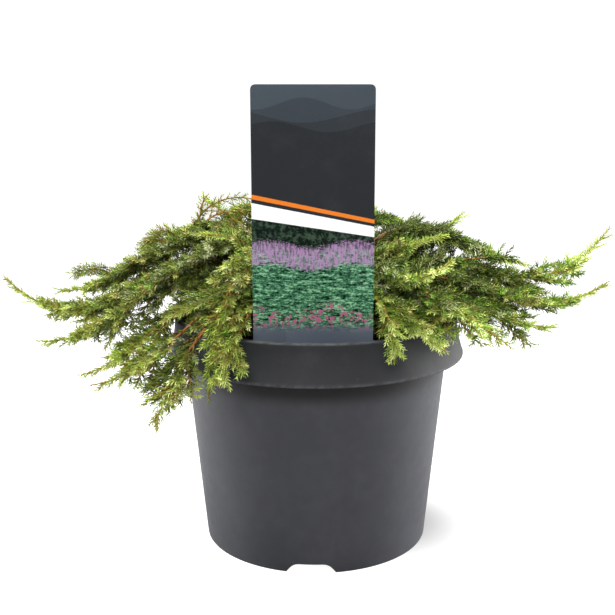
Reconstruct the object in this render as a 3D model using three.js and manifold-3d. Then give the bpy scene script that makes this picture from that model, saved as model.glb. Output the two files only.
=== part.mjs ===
// Potted carpet juniper: a low, spreading conifer in a nursery pot with a plant label.
// Millimetres, +Z up. The label stands on the -Y side, and +X is to the right of it.
// The origin is the centre of the pot's flat underside.

import * as THREE from "three";
import { mergeVertices } from "three/addons/utils/BufferGeometryUtils.js";
import Module from "manifold-3d";

const wasm = await Module();
wasm.setup();

// Driving dimensions

const CLEARANCE = 0.3;
const ROUND_SIDES = 40;
const SEED_STEP = 1000;

const POT = {
  height: 146.5,
  wall: 2,
  footRadius: 72.4,
  bodyTopRadius: 84.3,
  skirtFoot: 122.1,
  skirtRadius: 95,
  skirtInside: 93,
  skirtRoof: 128,
  bandFoot: 134.5,
  bandFootRadius: 91.4,
  rimRadius: 90.8,
  rimInside: 86.2,
  throatRadius: 84.8,
  edge: 0.9,
  recess: 6.5,
  footInside: 61,
  discRadius: 44,
  floor: 2.2,
  notches: 3,
  notchAzimuth: 267.6,
  notchHeight: 6,
  notchTopWidth: 21,
  notchFootWidth: 31,
  notchCornerShare: 0.75,
  drains: 6,
  drainSides: 8,
  drainRadius: 4.5,
  drainCircle: 54,
};

const SOIL_TOP = 133;

const LABEL = {
  centre: -1.65,
  plane: -76,
  width: 68.3,
  thickness: 0.8,
  top: 288,
  corner: 2.4,
  shoulder: 142,
  stakeTop: 134.5,
  stakeWidth: 26,
  stakeTipWidth: 8,
  stakeTaper: 14,
  stakeDepth: 46,
};

const STEM = {
  height: 36,
  sides: 12,
  lean: [0.08, 0.12],
  footRadius: 11,
  neckRadius: 7.2,
  neckHeight: 8,
  topRadius: 5.6,
  crestShare: 0.7,
  stations: [0, 0.08, 0.16, 0.26, 0.6, 0.97],
};

const BOUGH = { rootRadius: 2.3, tipRadius: 1.6, sides: 5, steps: 6 };

const TWIG = {
  rootRadius: 1.5,
  tipRadius: 0.7,
  sides: 3,
  steps: 6,
  fineStep: 4.8,
  coarseEvery: 3,
  firstStation: 4,
  forwardAngle: 43,
  forwardSpread: 9,
  rollMiddle: 6,
  rollSpread: 32,
  twistSpread: 50,
  longest: 50,
  shortest: 11,
  lengthSpread: 0.15,
  nearShare: 0.62,
  swellRate: 1.3,
  farLoss: 0.8,
  farPower: 1.5,
  bend: 0.16,
  lift: 0.07,
};

const SPRAY = {
  thickness: 0.6,
  rootSink: 0.3,
  widthShare: 0.26,
  leastWidth: 4.2,
  firstTooth: 0.34,
  toothGap: 0.21,
  swell: 0.86,
  notch: 0.05,
  notchDepth: 0.55,
  tipLength: 26,
  rootClear: 3,
  tipSink: 2,
  tipOverhang: 4,
};

// How much room a spray keeps, and the shares of its length that are tried in turn
const ROOM = {
  cellMargin: 1.3,
  limbGap: 0.9,
  hardGap: 1.4,
  labelGuard: 3,
  twigSamples: 22,
  boughSamples: 12,
  lengths: [1, 0.82, 0.66, 0.5, 0.38],
  shortestShare: 0.8,
};

// Heights at which the shoots leave the stem, from the lowest ring of boughs to the top
const RINGS = [139, 145, 151, 157, 162, 165.5];

// Every shoot: where it ends (azimuth and reach), its heights at a third, at two thirds and
// at its tip, and how steeply it hangs over the rim. A shoot with a bough has its foliage
// past the share "from" of its length; the others are foliage from the stem on.
const SHOOTS = [
  { name: "left_1", ring: 2, azimuth: 165, reach: 190, heights: [193, 171, 153], from: 0.3 },
  { name: "left_2", ring: 1, azimuth: 180, reach: 203, heights: [180, 154, 168], from: 0.28 },
  { name: "left_3", ring: 3, azimuth: 191, reach: 176, heights: [188, 157, 135], from: 0.32 },
  { name: "left_4", ring: 0, azimuth: 203, reach: 153, heights: [172, 147, 121], from: 0.34 },
  { name: "left_5", ring: 2, azimuth: 214, reach: 155, heights: [168, 141, 122], from: 0.34 },
  { name: "left_6", ring: 1, azimuth: 226, reach: 134, heights: [166, 134, 102], hang: 0.6, from: 0.36 },
  {
    name: "left_7", ring: 3, azimuth: 233, reach: 106,
    heights: [182, 163, 115], hang: 1, from: 0.34, young: true,
  },
  {
    name: "left_8", ring: 0, azimuth: 243, reach: 118,
    heights: [170, 147, 130], hang: 0.8, from: 0.36, young: true,
  },
  { name: "left_9", ring: 4, azimuth: 154, reach: 134, heights: [194, 198, 179], spread: 0.8 },
  { name: "left_10", ring: 5, azimuth: 130, reach: 118, heights: [200, 208, 184], spread: 0.75 },
  { name: "left_11", ring: 3, azimuth: 148, reach: 92, heights: [182, 200, 216], spread: 0.6 },
  { name: "right_1", ring: 2, azimuth: 7, reach: 198, heights: [181, 167, 196], from: 0.28 },
  { name: "right_2", ring: 1, azimuth: 352, reach: 184, heights: [173, 160, 169], from: 0.3 },
  { name: "right_3", ring: 0, azimuth: 341, reach: 154, heights: [168, 157, 147], from: 0.34 },
  { name: "right_4", ring: 2, azimuth: 328, reach: 135, heights: [169, 162, 141], from: 0.38, young: true },
  { name: "right_5", ring: 1, azimuth: 309, reach: 117, heights: [166, 158, 143], from: 0.4, young: true },
  {
    name: "right_6", ring: 3, azimuth: 296.5, reach: 103,
    heights: [174, 161, 139], hang: 0.8, from: 0.36, young: true,
  },
  { name: "right_7", ring: 4, azimuth: 318, reach: 106, heights: [175, 176, 189], spread: 0.8 },
  { name: "right_8", ring: 3, azimuth: 17, reach: 155, heights: [198, 189, 171], from: 0.34 },
  { name: "right_9", ring: 5, azimuth: 35, reach: 129, heights: [186, 189, 202], spread: 0.8 },
  { name: "right_10", ring: 4, azimuth: 52, reach: 130, heights: [200, 199, 187], spread: 0.7 },
  { name: "right_11", ring: 5, azimuth: 64, reach: 100, heights: [186, 200, 206], spread: 0.6 },
  { name: "back_1", ring: 0, azimuth: 28, reach: 158, heights: [170, 160, 150], from: 0.34 },
  { name: "back_2", ring: 1, azimuth: 49, reach: 166, heights: [174, 161, 145], from: 0.32 },
  { name: "back_3", ring: 2, azimuth: 72, reach: 172, heights: [180, 164, 153], from: 0.32 },
  { name: "back_4", ring: 0, azimuth: 93, reach: 168, heights: [175, 160, 140], from: 0.32 },
  { name: "back_5", ring: 2, azimuth: 114, reach: 174, heights: [182, 166, 156], from: 0.32 },
  { name: "back_6", ring: 0, azimuth: 137, reach: 164, heights: [172, 158, 142], from: 0.32 },
  { name: "middle_1", ring: 5, azimuth: 197, reach: 76, heights: [183, 195, 200], spread: 0.6 },
  { name: "middle_2", ring: 4, azimuth: 100, reach: 92, heights: [190, 200, 204], spread: 0.6 },
  { name: "middle_3", ring: 4, azimuth: 352, reach: 84, heights: [180, 190, 197], spread: 0.6 },
  { name: "middle_4", ring: 5, azimuth: 262, reach: 58, heights: [174, 184, 192], spread: 0.6 },
  { name: "middle_5", ring: 4, azimuth: 222, reach: 78, heights: [178, 186, 184], spread: 0.7 },
  { name: "middle_6", ring: 5, azimuth: 290, reach: 64, heights: [174, 183, 187], spread: 0.7 },
];

const FINISH = {
  pot: { color: 0x3f4145, roughness: 0.5 },
  growing_medium: { color: 0x2a1f18, roughness: 1 },
  plant_label: { color: 0x34373b, roughness: 0.35 },
  wood: { color: 0x7a4a2b, roughness: 0.85 },
  deep: { color: 0x46602a, roughness: 0.7 },
  middle: { color: 0x5c7a34, roughness: 0.7 },
  young: { color: 0x8aa84c, roughness: 0.7 },
};

// Solids: closed meshes joined and cut

function toSolid(geometry) {
  const bare = geometry.clone();
  bare.deleteAttribute("normal");
  bare.deleteAttribute("uv");
  const merged = mergeVertices(bare, 1e-3);
  return new wasm.Manifold(new wasm.Mesh({
    numProp: 3,
    vertProperties: new Float32Array(merged.attributes.position.array),
    triVerts: new Uint32Array(merged.index.array),
  }));
}

function toGeometry(solid) {
  const { vertProperties, triVerts } = solid.getMesh();
  const geometry = new THREE.BufferGeometry();
  geometry.setAttribute("position", new THREE.BufferAttribute(new Float32Array(vertProperties), 3));
  geometry.setIndex(new THREE.BufferAttribute(new Uint32Array(triVerts), 1));
  geometry.computeVertexNormals();
  return geometry;
}

function joined(solids) {
  return solids.reduce((whole, solid) => whole.add(solid));
}

function turned(profile) {
  const points = profile.map(([radius, height]) => new THREE.Vector2(radius, height));
  return new THREE.LatheGeometry(points, ROUND_SIDES).rotateX(Math.PI / 2);
}

function flatPlate(outline, thickness) {
  const shape = new THREE.Shape(outline.map(([x, y]) => new THREE.Vector2(x, y)));
  return new THREE.ExtrudeGeometry(shape, { depth: thickness, bevelEnabled: false });
}

function radians(degrees) {
  return THREE.MathUtils.degToRad(degrees);
}

// Pot: tapered wall, overhanging skirt below a straight rim band, foot ring with notches

function potWallRadius(height) {
  const share = height / POT.skirtFoot;
  return THREE.MathUtils.lerp(POT.footRadius, POT.bodyTopRadius, share);
}

function potOutside() {
  const { edge } = POT;
  return [
    [0, 0],
    [POT.discRadius, 0],
    [POT.discRadius + POT.wall, POT.recess],
    [POT.footInside - POT.wall, POT.recess],
    [POT.footInside, 0],
    [POT.footRadius - edge, 0],
    [potWallRadius(edge), edge],
    [POT.bodyTopRadius, POT.skirtFoot],
    [potWallRadius(POT.skirtRoof), POT.skirtRoof],
    [POT.skirtInside - edge, POT.skirtRoof],
    [POT.skirtInside, POT.skirtFoot + edge],
    [POT.skirtInside + edge, POT.skirtFoot],
    [POT.skirtRadius - edge / 2, POT.skirtFoot],
    [POT.skirtRadius, POT.skirtFoot + edge],
    [POT.skirtRadius - edge, POT.skirtRoof + edge],
    [POT.bandFootRadius + edge, POT.bandFoot - edge],
    [POT.bandFootRadius, POT.bandFoot + edge],
    [POT.rimRadius, POT.height - edge],
    [POT.rimRadius - edge, POT.height],
  ];
}

function potInside(gap) {
  const floorTop = POT.recess + POT.floor;
  return [
    [POT.rimInside - gap, POT.height - POT.edge],
    [POT.throatRadius - gap, POT.bandFoot],
    [POT.bodyTopRadius - POT.wall - gap, POT.skirtFoot],
    [potWallRadius(floorTop) - POT.wall - gap, floorTop + gap],
    [POT.discRadius + POT.wall - gap, floorTop + gap],
    [POT.discRadius - gap, POT.floor + gap],
    [0, POT.floor + gap],
  ];
}

function footNotch() {
  const { notchTopWidth: top, notchFootWidth: foot, notchHeight: height } = POT;
  const ease = (foot - top) / 4;
  const outline = [
    [-foot / 2 - ease, -height],
    [foot / 2 + ease, -height],
    [foot / 2, 0],
    [top / 2 + ease, height * POT.notchCornerShare],
    [top / 2 - ease, height],
    [-top / 2 + ease, height],
    [-top / 2 - ease, height * POT.notchCornerShare],
    [-foot / 2, 0],
  ];
  const depth = POT.footRadius + POT.wall - POT.footInside + 2 * POT.wall;
  return flatPlate(outline, depth).rotateX(Math.PI / 2).rotateZ(Math.PI / 2)
    .translate(POT.footInside - 2 * POT.wall, 0, 0);
}

function pot() {
  const lip = [POT.rimInside + POT.edge, POT.height];
  let solid = toSolid(turned([...potOutside(), lip, ...potInside(0)]));
  for (let i = 0; i < POT.notches; i += 1) {
    const azimuth = radians(POT.notchAzimuth + (i * 360) / POT.notches);
    solid = solid.subtract(toSolid(footNotch().rotateZ(azimuth)));
  }
  for (let i = 0; i < POT.drains; i += 1) {
    const azimuth = radians(POT.notchAzimuth + ((i + 0.5) * 360) / POT.drains);
    const hole = new THREE.CylinderGeometry(POT.drainRadius, POT.drainRadius, 4 * POT.floor, POT.drainSides)
      .rotateX(Math.PI / 2)
      .translate(POT.drainCircle * Math.cos(azimuth), POT.drainCircle * Math.sin(azimuth), POT.recess);
    solid = solid.subtract(toSolid(hole));
  }
  return toGeometry(solid);
}

// Growing medium: fills the pot up to its top, with a slot for the label's stake

function stakeOutline(grow) {
  const half = LABEL.stakeWidth / 2 + grow;
  const tip = LABEL.stakeTipWidth / 2 + grow;
  const foot = SOIL_TOP - LABEL.stakeDepth;
  return { half, tip, foot: foot - grow, neck: foot + LABEL.stakeTaper };
}

function growingMedium() {
  const gap = CLEARANCE;
  const wall = potInside(gap).slice(2);
  const share = (SOIL_TOP - POT.skirtFoot) / (POT.bandFoot - POT.skirtFoot);
  const topRadius = THREE.MathUtils.lerp(POT.bodyTopRadius - POT.wall, POT.throatRadius, share) - gap;
  const profile = [[0, SOIL_TOP], [topRadius, SOIL_TOP], ...wall].reverse();
  const { half, tip, foot, neck } = stakeOutline(CLEARANCE);
  const mouth = LABEL.stakeTop;
  const slot = flatPlate([
    [-tip, foot], [tip, foot], [half, neck], [half, mouth], [-half, mouth], [-half, neck],
  ], LABEL.thickness + 2 * CLEARANCE)
    .rotateX(Math.PI / 2)
    .translate(LABEL.centre, LABEL.plane + LABEL.thickness / 2 + CLEARANCE, 0);
  return toGeometry(toSolid(turned(profile)).subtract(toSolid(slot)));
}

// Plant label: a thin card on a stake

function plantLabel() {
  const half = LABEL.width / 2;
  const stake = stakeOutline(0);
  const shape = new THREE.Shape();
  shape.moveTo(-stake.tip, stake.foot);
  shape.lineTo(stake.tip, stake.foot);
  shape.lineTo(stake.half, stake.neck);
  shape.lineTo(stake.half, LABEL.stakeTop);
  shape.lineTo(half, LABEL.shoulder);
  shape.absarc(half - LABEL.corner, LABEL.top - LABEL.corner, LABEL.corner, 0, Math.PI / 2);
  shape.absarc(LABEL.corner - half, LABEL.top - LABEL.corner, LABEL.corner, Math.PI / 2, Math.PI);
  shape.lineTo(-half, LABEL.shoulder);
  shape.lineTo(-stake.half, LABEL.stakeTop);
  shape.lineTo(-stake.half, stake.neck);
  const card = new THREE.ExtrudeGeometry(shape, {
    depth: LABEL.thickness, bevelEnabled: false, curveSegments: 3,
  });
  return card.rotateX(Math.PI / 2).translate(LABEL.centre, LABEL.plane + LABEL.thickness / 2, 0);
}

// Stem: short, flared at its flat foot and leaning a little

const STEM_FOOT = SOIL_TOP + CLEARANCE;

function stemRadius(height) {
  const above = height - STEM_FOOT;
  if (above < STEM.neckHeight) {
    const share = 1 - above / STEM.neckHeight;
    return STEM.neckRadius + (STEM.footRadius - STEM.neckRadius) * share ** 2;
  }
  const share = (above - STEM.neckHeight) / (STEM.height - STEM.neckHeight);
  return THREE.MathUtils.lerp(STEM.neckRadius, STEM.topRadius, share);
}

function stemCentre(height) {
  const above = height - STEM_FOOT;
  return new THREE.Vector3(STEM.lean[0] * above, STEM.lean[1] * above, height);
}

function stem() {
  const stations = STEM.stations.map((share) => STEM_FOOT + share * STEM.height);
  const top = STEM_FOOT + STEM.height;
  const profile = stations.map((height) => new THREE.Vector2(stemRadius(height), height));
  const points = [
    new THREE.Vector2(0, STEM_FOOT), ...profile,
    new THREE.Vector2(stemRadius(top) * STEM.crestShare, top), new THREE.Vector2(0, top),
  ];
  const geometry = new THREE.LatheGeometry(points, STEM.sides).rotateX(Math.PI / 2);
  const position = geometry.attributes.position;
  for (let i = 0; i < position.count; i += 1) {
    const centre = stemCentre(position.getZ(i));
    position.setX(i, position.getX(i) + centre.x);
    position.setY(i, position.getY(i) + centre.y);
  }
  return geometry;
}

// Shoots: one curve each, from the stem to its furthest tip

function seededRandom(seed) {
  let state = seed >>> 0;
  return () => {
    state = (state + 0x6d2b79f5) >>> 0;
    let mixed = Math.imul(state ^ (state >>> 15), state | 1);
    mixed ^= mixed + Math.imul(mixed ^ (mixed >>> 7), mixed | 61);
    return ((mixed ^ (mixed >>> 14)) >>> 0) / 4294967296;
  };
}

function cubicThrough([a, b, c, d], t) {
  return (a * (1 - 3 * t) * (2 - 3 * t) * (1 - t)) / 2
    + (b * 9 * t * (1 - t) * (2 - 3 * t)) / 2
    + (c * 9 * t * (1 - t) * (3 * t - 1)) / 2
    + (d * t * (3 * t - 1) * (3 * t - 2)) / 2;
}

// A shoot starts clear of the stem, also at the upper edge of its sloping foot
function shootStart({ ring, reach, heights, hang = 0, from }) {
  const height = RINGS[ring];
  const [third, twoThirds, tip] = heights;
  const rise = -5.5 * height + 9 * third - 4.5 * twoThirds + tip;
  const slope = Math.atan2(rise, reach * (1 + hang));
  const limbRadius = from ? BOUGH.rootRadius : TWIG.rootRadius;
  const upperEdge = height + limbRadius * Math.cos(slope);
  const radius = stemRadius(upperEdge) + CLEARANCE + limbRadius * Math.sin(slope);
  return { height, radius, centre: stemCentre(upperEdge) };
}

class ShootCurve extends THREE.Curve {
  constructor(shoot, from = 0, to = 1) {
    super();
    this.shoot = shoot;
    this.from = from;
    this.to = to;
    this.azimuth = radians(shoot.azimuth);
    this.start = shootStart(shoot);
  }

  getPoint(u, target = new THREE.Vector3()) {
    const t = this.from + (this.to - this.from) * u;
    const { reach, heights, hang = 0 } = this.shoot;
    const share = 1 - (1 - t) ** (1 + hang);
    const end = reach - SPRAY.tipOverhang;
    const radius = THREE.MathUtils.lerp(this.start.radius, end, share);
    return target.set(
      radius * Math.cos(this.azimuth) + this.start.centre.x * (1 - t),
      radius * Math.sin(this.azimuth) + this.start.centre.y * (1 - t),
      cubicThrough([this.start.height, ...heights], t),
    );
  }

  frame(u) {
    const tangent = this.getTangent(u);
    const level = new THREE.Vector3(-Math.sin(this.azimuth), Math.cos(this.azimuth), 0);
    const up = new THREE.Vector3().crossVectors(tangent, level).normalize();
    const side = new THREE.Vector3().crossVectors(up, tangent).normalize();
    return { point: this.getPoint(u), tangent, side, up };
  }

  // The frame on the straight run between two of the limb's rings, where a spray is rooted
  chordFrame(u, steps) {
    const ring = Math.min(Math.floor(u * steps), steps - 1);
    const point = this.getPoint(ring / steps).lerp(this.getPoint((ring + 1) / steps), u * steps - ring);
    return { ...this.frame(u), point };
  }
}

function taperedLimb(curve, rootRadius, tipRadius, sides, steps) {
  const geometry = new THREE.CylinderGeometry(tipRadius, rootRadius, 1, sides, steps);
  const position = geometry.attributes.position;
  const place = new THREE.Vector3();
  for (let i = 0; i < position.count; i += 1) {
    place.fromBufferAttribute(position, i);
    const { point, side, up } = curve.frame(place.y + 0.5);
    point.addScaledVector(side, -place.x).addScaledVector(up, place.z);
    position.setXYZ(i, point.x, point.y, point.z);
  }
  return geometry;
}

// The gap between a bough's tip and the foliage's stem, as a share of the shoot
function jointShare(shoot) {
  return CLEARANCE / new ShootCurve(shoot).getLength();
}

function boughCurve(shoot) {
  return new ShootCurve(shoot, 0, shoot.from - jointShare(shoot));
}

function foliageCurve(shoot) {
  return new ShootCurve(shoot, shoot.from ? shoot.from + jointShare(shoot) : 0, 1);
}

// The twig of a foliage mass stops where its tip spray starts
function twigCurve(shoot) {
  const whole = foliageCurve(shoot);
  const bare = (SPRAY.tipLength - SPRAY.tipOverhang) / whole.getLength();
  return new ShootCurve(shoot, whole.from, 1 - bare * (1 - whole.from));
}

function bough(shoot) {
  return taperedLimb(boughCurve(shoot), BOUGH.rootRadius, BOUGH.tipRadius, BOUGH.sides, BOUGH.steps);
}

// Room: a spray stays nearer to its own shoot than to any other, and clear of what is hard

const AXES = SHOOTS.map((shoot) => ({
  name: shoot.name,
  twig: foliageCurve(shoot).getPoints(ROOM.twigSamples),
  bough: shoot.from ? boughCurve(shoot).getPoints(ROOM.boughSamples) : [],
}));

function distanceTo(path, point) {
  let nearest = Infinity;
  const line = new THREE.Line3();
  const foot = new THREE.Vector3();
  for (let i = 1; i < path.length; i += 1) {
    line.set(path[i - 1], path[i]);
    line.closestPointToPoint(point, true, foot);
    nearest = Math.min(nearest, foot.distanceTo(point));
  }
  return nearest;
}

function clearOfPot({ x, y, z }) {
  const radius = Math.hypot(x, y);
  const above = z > POT.height + ROOM.hardGap;
  const outside = radius > POT.skirtRadius + ROOM.hardGap;
  const inside = radius < POT.throatRadius - ROOM.hardGap && z > SOIL_TOP + ROOM.hardGap;
  return above || outside || inside;
}

function clearOfLabel({ x, y, z }) {
  const beside = Math.abs(x - LABEL.centre) > LABEL.width / 2 + ROOM.labelGuard;
  const behind = y > LABEL.plane + LABEL.thickness + ROOM.hardGap;
  return beside || behind || z > LABEL.top + ROOM.labelGuard;
}

function clearOfStem(point) {
  if (point.z > STEM_FOOT + STEM.height + ROOM.hardGap) {
    return true;
  }
  const centre = stemCentre(point.z);
  return Math.hypot(point.x - centre.x, point.y - centre.y) > stemRadius(point.z) + ROOM.hardGap;
}

function hasRoom(point, owner) {
  if (!clearOfPot(point) || !clearOfLabel(point) || !clearOfStem(point)) {
    return false;
  }
  const own = distanceTo(owner.twig, point);
  return AXES.every((axis) => {
    if (axis.bough.length && distanceTo(axis.bough, point) < BOUGH.rootRadius + ROOM.limbGap) {
      return false;
    }
    if (axis === owner) {
      return true;
    }
    const other = distanceTo(axis.twig, point);
    return other > own + ROOM.cellMargin && other > TWIG.rootRadius + ROOM.limbGap;
  });
}

// Spray: a flat blade with forward-pointing teeth, bent forward and up from its twig

function sprayOutline(length, width) {
  const { firstTooth, toothGap, notch, notchDepth, swell } = SPRAY;
  const tooth = (place) => {
    const hand = place % 2 === 0 ? 1 : -1;
    const far = length * (firstTooth + toothGap * place);
    const wide = width * swell ** place;
    return [[far, hand * wide], [far + notch * length, hand * wide * (1 - notchDepth)]];
  };
  const left = [...tooth(0), ...tooth(2)];
  const right = tooth(1);
  return [[-SPRAY.rootSink, 0], ...right, [length, 0], ...left.reverse()];
}

function placeSpray({ root, along, across, bend, lift }, length, [x, y], z) {
  const normal = new THREE.Vector3().crossVectors(along, across);
  const curve = (Math.max(x, 0) ** 2) / length;
  return root.clone()
    .addScaledVector(along, x)
    .addScaledVector(across, y + bend * curve)
    .addScaledVector(normal, z + lift * curve);
}

function sprayRoom(placing, length, outline, owner) {
  return outline.every((corner, i) => {
    const next = outline[(i + 1) % outline.length];
    const middle = [(corner[0] + next[0]) / 2, (corner[1] + next[1]) / 2];
    return [corner, middle]
      .filter(([x]) => x > SPRAY.rootClear)
      .every((place) => hasRoom(placeSpray(placing, length, place, 0), owner));
  });
}

function spraySolid(placing, length, outline) {
  const geometry = flatPlate(outline, SPRAY.thickness);
  const position = geometry.attributes.position;
  for (let i = 0; i < position.count; i += 1) {
    const flat = [position.getX(i), position.getY(i)];
    const place = placeSpray(placing, length, flat, position.getZ(i) - SPRAY.thickness / 2);
    position.setXYZ(i, place.x, place.y, place.z);
  }
  return toSolid(geometry);
}

function sprayOf(placing, wanted, owner) {
  for (const share of ROOM.lengths) {
    const length = wanted * share;
    if (length < TWIG.shortest * ROOM.shortestShare) {
      return null;
    }
    const width = Math.max(SPRAY.leastWidth, SPRAY.widthShare * length);
    const outline = sprayOutline(length, width);
    if (sprayRoom(placing, length, outline, owner)) {
      return spraySolid(placing, length, outline);
    }
  }
  return null;
}

// Side shoots get longer to a third of the twig and then shorter to its tip
function sideLength(share) {
  const near = Math.min(1, TWIG.nearShare + TWIG.swellRate * share);
  const swell = near * (1 - TWIG.farLoss * share ** TWIG.farPower);
  return Math.max(TWIG.shortest, TWIG.longest * swell);
}

function sidePlacing(frame, station, random) {
  const forward = radians(TWIG.forwardAngle + TWIG.forwardSpread * (2 * random() - 1));
  const roll = radians(TWIG.rollMiddle + TWIG.rollSpread * (2 * random() - 1));
  const hand = station % 2 === 0 ? 1 : -1;
  const outward = frame.side.clone().multiplyScalar(hand * Math.cos(roll))
    .addScaledVector(frame.up, Math.sin(roll));
  const along = frame.tangent.clone().multiplyScalar(Math.cos(forward))
    .addScaledVector(outward, Math.sin(forward)).normalize();
  const twist = radians(TWIG.twistSpread * (2 * random() - 1));
  const across = frame.tangent.clone().addScaledVector(along, -frame.tangent.dot(along)).normalize()
    .applyAxisAngle(along, twist);
  return { root: frame.point, along, across, bend: TWIG.bend, lift: -hand * TWIG.lift };
}

function foliage(shoot, index) {
  const twig = twigCurve(shoot);
  const length = twig.getLength();
  const owner = AXES[index];
  const parts = [toSolid(taperedLimb(twig, TWIG.rootRadius, TWIG.tipRadius, TWIG.sides, TWIG.steps))];
  const stations = Math.floor((length - TWIG.firstStation) / TWIG.fineStep);
  for (let station = 0; station < stations; station += TWIG.coarseEvery) {
    const random = seededRandom(SEED_STEP * (index + 1) + station);
    const along = TWIG.firstStation + station * TWIG.fineStep;
    const placing = sidePlacing(twig.chordFrame(along / length, TWIG.steps), station, random);
    const share = along / (length + SPRAY.tipLength);
    const vary = 1 + TWIG.lengthSpread * (2 * random() - 1);
    const solid = sprayOf(placing, sideLength(share) * vary * (shoot.spread ?? 1), owner);
    if (solid) {
      parts.push(solid);
    }
  }
  parts.push(tipSpray(shoot, twig, length));
  return toGeometry(joined(parts));
}

// A narrow spray goes on from the twig's end to the shoot's furthest tip
function tipSpray(shoot, twig, length) {
  const { point: root, side } = twig.chordFrame(1 - SPRAY.tipSink / length, TWIG.steps);
  const whole = foliageCurve(shoot);
  const end = whole.getPoint(1).addScaledVector(whole.getTangent(1), SPRAY.tipOverhang);
  const along = end.clone().sub(root).normalize();
  const across = side.clone().addScaledVector(along, -side.dot(along)).normalize();
  const reach = end.distanceTo(root);
  return spraySolid({ root, along, across, bend: 0, lift: 0 }, reach, sprayOutline(reach, SPRAY.leastWidth));
}

// The whole plant

function named(name, geometry, { color, roughness }) {
  const material = new THREE.MeshStandardMaterial({ color, roughness, metalness: 0 });
  const mesh = new THREE.Mesh(geometry, material);
  mesh.name = name;
  return mesh;
}

function green(shoot) {
  if (shoot.young) {
    return FINISH.young;
  }
  return shoot.from ? FINISH.deep : FINISH.middle;
}

const plant = new THREE.Group();
plant.add(named("pot", pot(), FINISH.pot));
plant.add(named("growing_medium", growingMedium(), FINISH.growing_medium));
plant.add(named("plant_label", plantLabel(), FINISH.plant_label));
plant.add(named("stem", stem(), FINISH.wood));
SHOOTS.forEach((shoot, index) => {
  if (shoot.from) {
    plant.add(named(`bough_${shoot.name}`, bough(shoot), FINISH.wood));
  }
  plant.add(named(`foliage_${shoot.name}`, foliage(shoot, index), green(shoot)));
});

export default plant;
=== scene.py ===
"""A potted carpet juniper: its finished looks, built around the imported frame.

Meshes are in metres with +Z up, and the origin is the centre of the pot's flat underside.
The growth rule and all sizes are in millimetres, and become metres where a mesh is made.
"""

import logging
import random
from collections.abc import Iterable, Sequence
from dataclasses import dataclass, field
from enum import Enum
from math import atan2, copysign, cos, hypot, pi, radians, sin, tau
from typing import Any

import bmesh
import bpy
import numpy as np
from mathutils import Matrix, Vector, noise


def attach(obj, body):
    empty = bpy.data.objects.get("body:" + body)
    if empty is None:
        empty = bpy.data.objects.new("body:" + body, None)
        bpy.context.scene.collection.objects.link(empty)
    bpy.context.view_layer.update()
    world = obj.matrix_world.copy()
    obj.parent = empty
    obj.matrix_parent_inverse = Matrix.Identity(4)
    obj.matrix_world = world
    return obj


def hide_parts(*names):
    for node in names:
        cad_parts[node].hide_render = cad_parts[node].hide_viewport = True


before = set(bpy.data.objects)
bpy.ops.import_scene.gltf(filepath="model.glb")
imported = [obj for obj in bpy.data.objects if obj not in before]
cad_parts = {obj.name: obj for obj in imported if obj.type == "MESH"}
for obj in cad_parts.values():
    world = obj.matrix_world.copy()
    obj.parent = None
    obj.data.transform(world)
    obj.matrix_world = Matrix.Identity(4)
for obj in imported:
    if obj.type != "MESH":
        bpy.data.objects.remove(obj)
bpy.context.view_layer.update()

LOG = logging.getLogger("juniper")
MM = 0.001
BODY = "root"
MASK = 0xFFFFFFFF
TINY = 1e-6

Colour = tuple[float, float, float]
Pair = tuple[float, float]
Place = tuple[float, float, float]
Wave = tuple[float, float, float, float]
Array = np.ndarray
Item = bpy.types.Object
Finish = bpy.types.Material


class Slot(str, Enum):
    """The record's material slots."""

    POT = "pot_plastic"
    COMPOST = "compost"
    CARD = "label_card"
    BARK = "bark"
    DEEP = "foliage_deep"
    MIDDLE = "foliage_middle"
    YOUNG = "foliage_young"


class Tint(Enum):
    """The greens that are dealt out by spray, each with its outer face and its banded inner face."""

    SHADE = ((42, 50, 12), (70, 82, 30))
    DEEP = ((60, 76, 18), (94, 110, 42))
    MOSS = ((84, 100, 26), (132, 144, 64))
    OLIVE = ((124, 114, 42), (172, 162, 92))
    FRESH = ((114, 138, 38), (170, 186, 92))
    LIME = ((158, 184, 66), (208, 220, 134))
    SILVER = ((86, 102, 54), (164, 172, 128))
    GRASS = ((52, 86, 14), (92, 134, 38))
    SPRING = ((82, 120, 26), (132, 164, 64))


class Wood(Enum):
    """The colours of a twig's skin, from old wood to this year's growth."""

    OLD = (158, 100, 54)
    RUSSET = (164, 110, 62)
    GREEN = (136, 136, 66)


GREENS = list(Tint)
RIPER = {
    Tint.SHADE: Tint.DEEP, Tint.DEEP: Tint.MOSS, Tint.MOSS: Tint.FRESH, Tint.OLIVE: Tint.FRESH,
    Tint.FRESH: Tint.LIME, Tint.GRASS: Tint.SPRING,
}
GRASSIER = {Tint.DEEP: Tint.GRASS, Tint.MOSS: Tint.GRASS, Tint.FRESH: Tint.SPRING}


def linear(colour: Sequence[float]) -> tuple[float, float, float, float]:
    """Turns a display colour into the linear one that a shader takes.

    Args:
        colour: Red, green and blue from 0 to 255.

    Returns:
        Linear red, green and blue from 0 to 1, and an alpha of 1.
    """
    shares = [part / 255 for part in colour]
    bright = [s / 12.92 if s <= 0.04045 else ((s + 0.055) / 1.055) ** 2.4 for s in shares]
    return (bright[0], bright[1], bright[2], 1.0)


def metres(lengths: Sequence[float]) -> list[float]:
    """Turns lengths in millimetres into metres."""
    return [length * MM for length in lengths]


# Node trees


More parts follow.
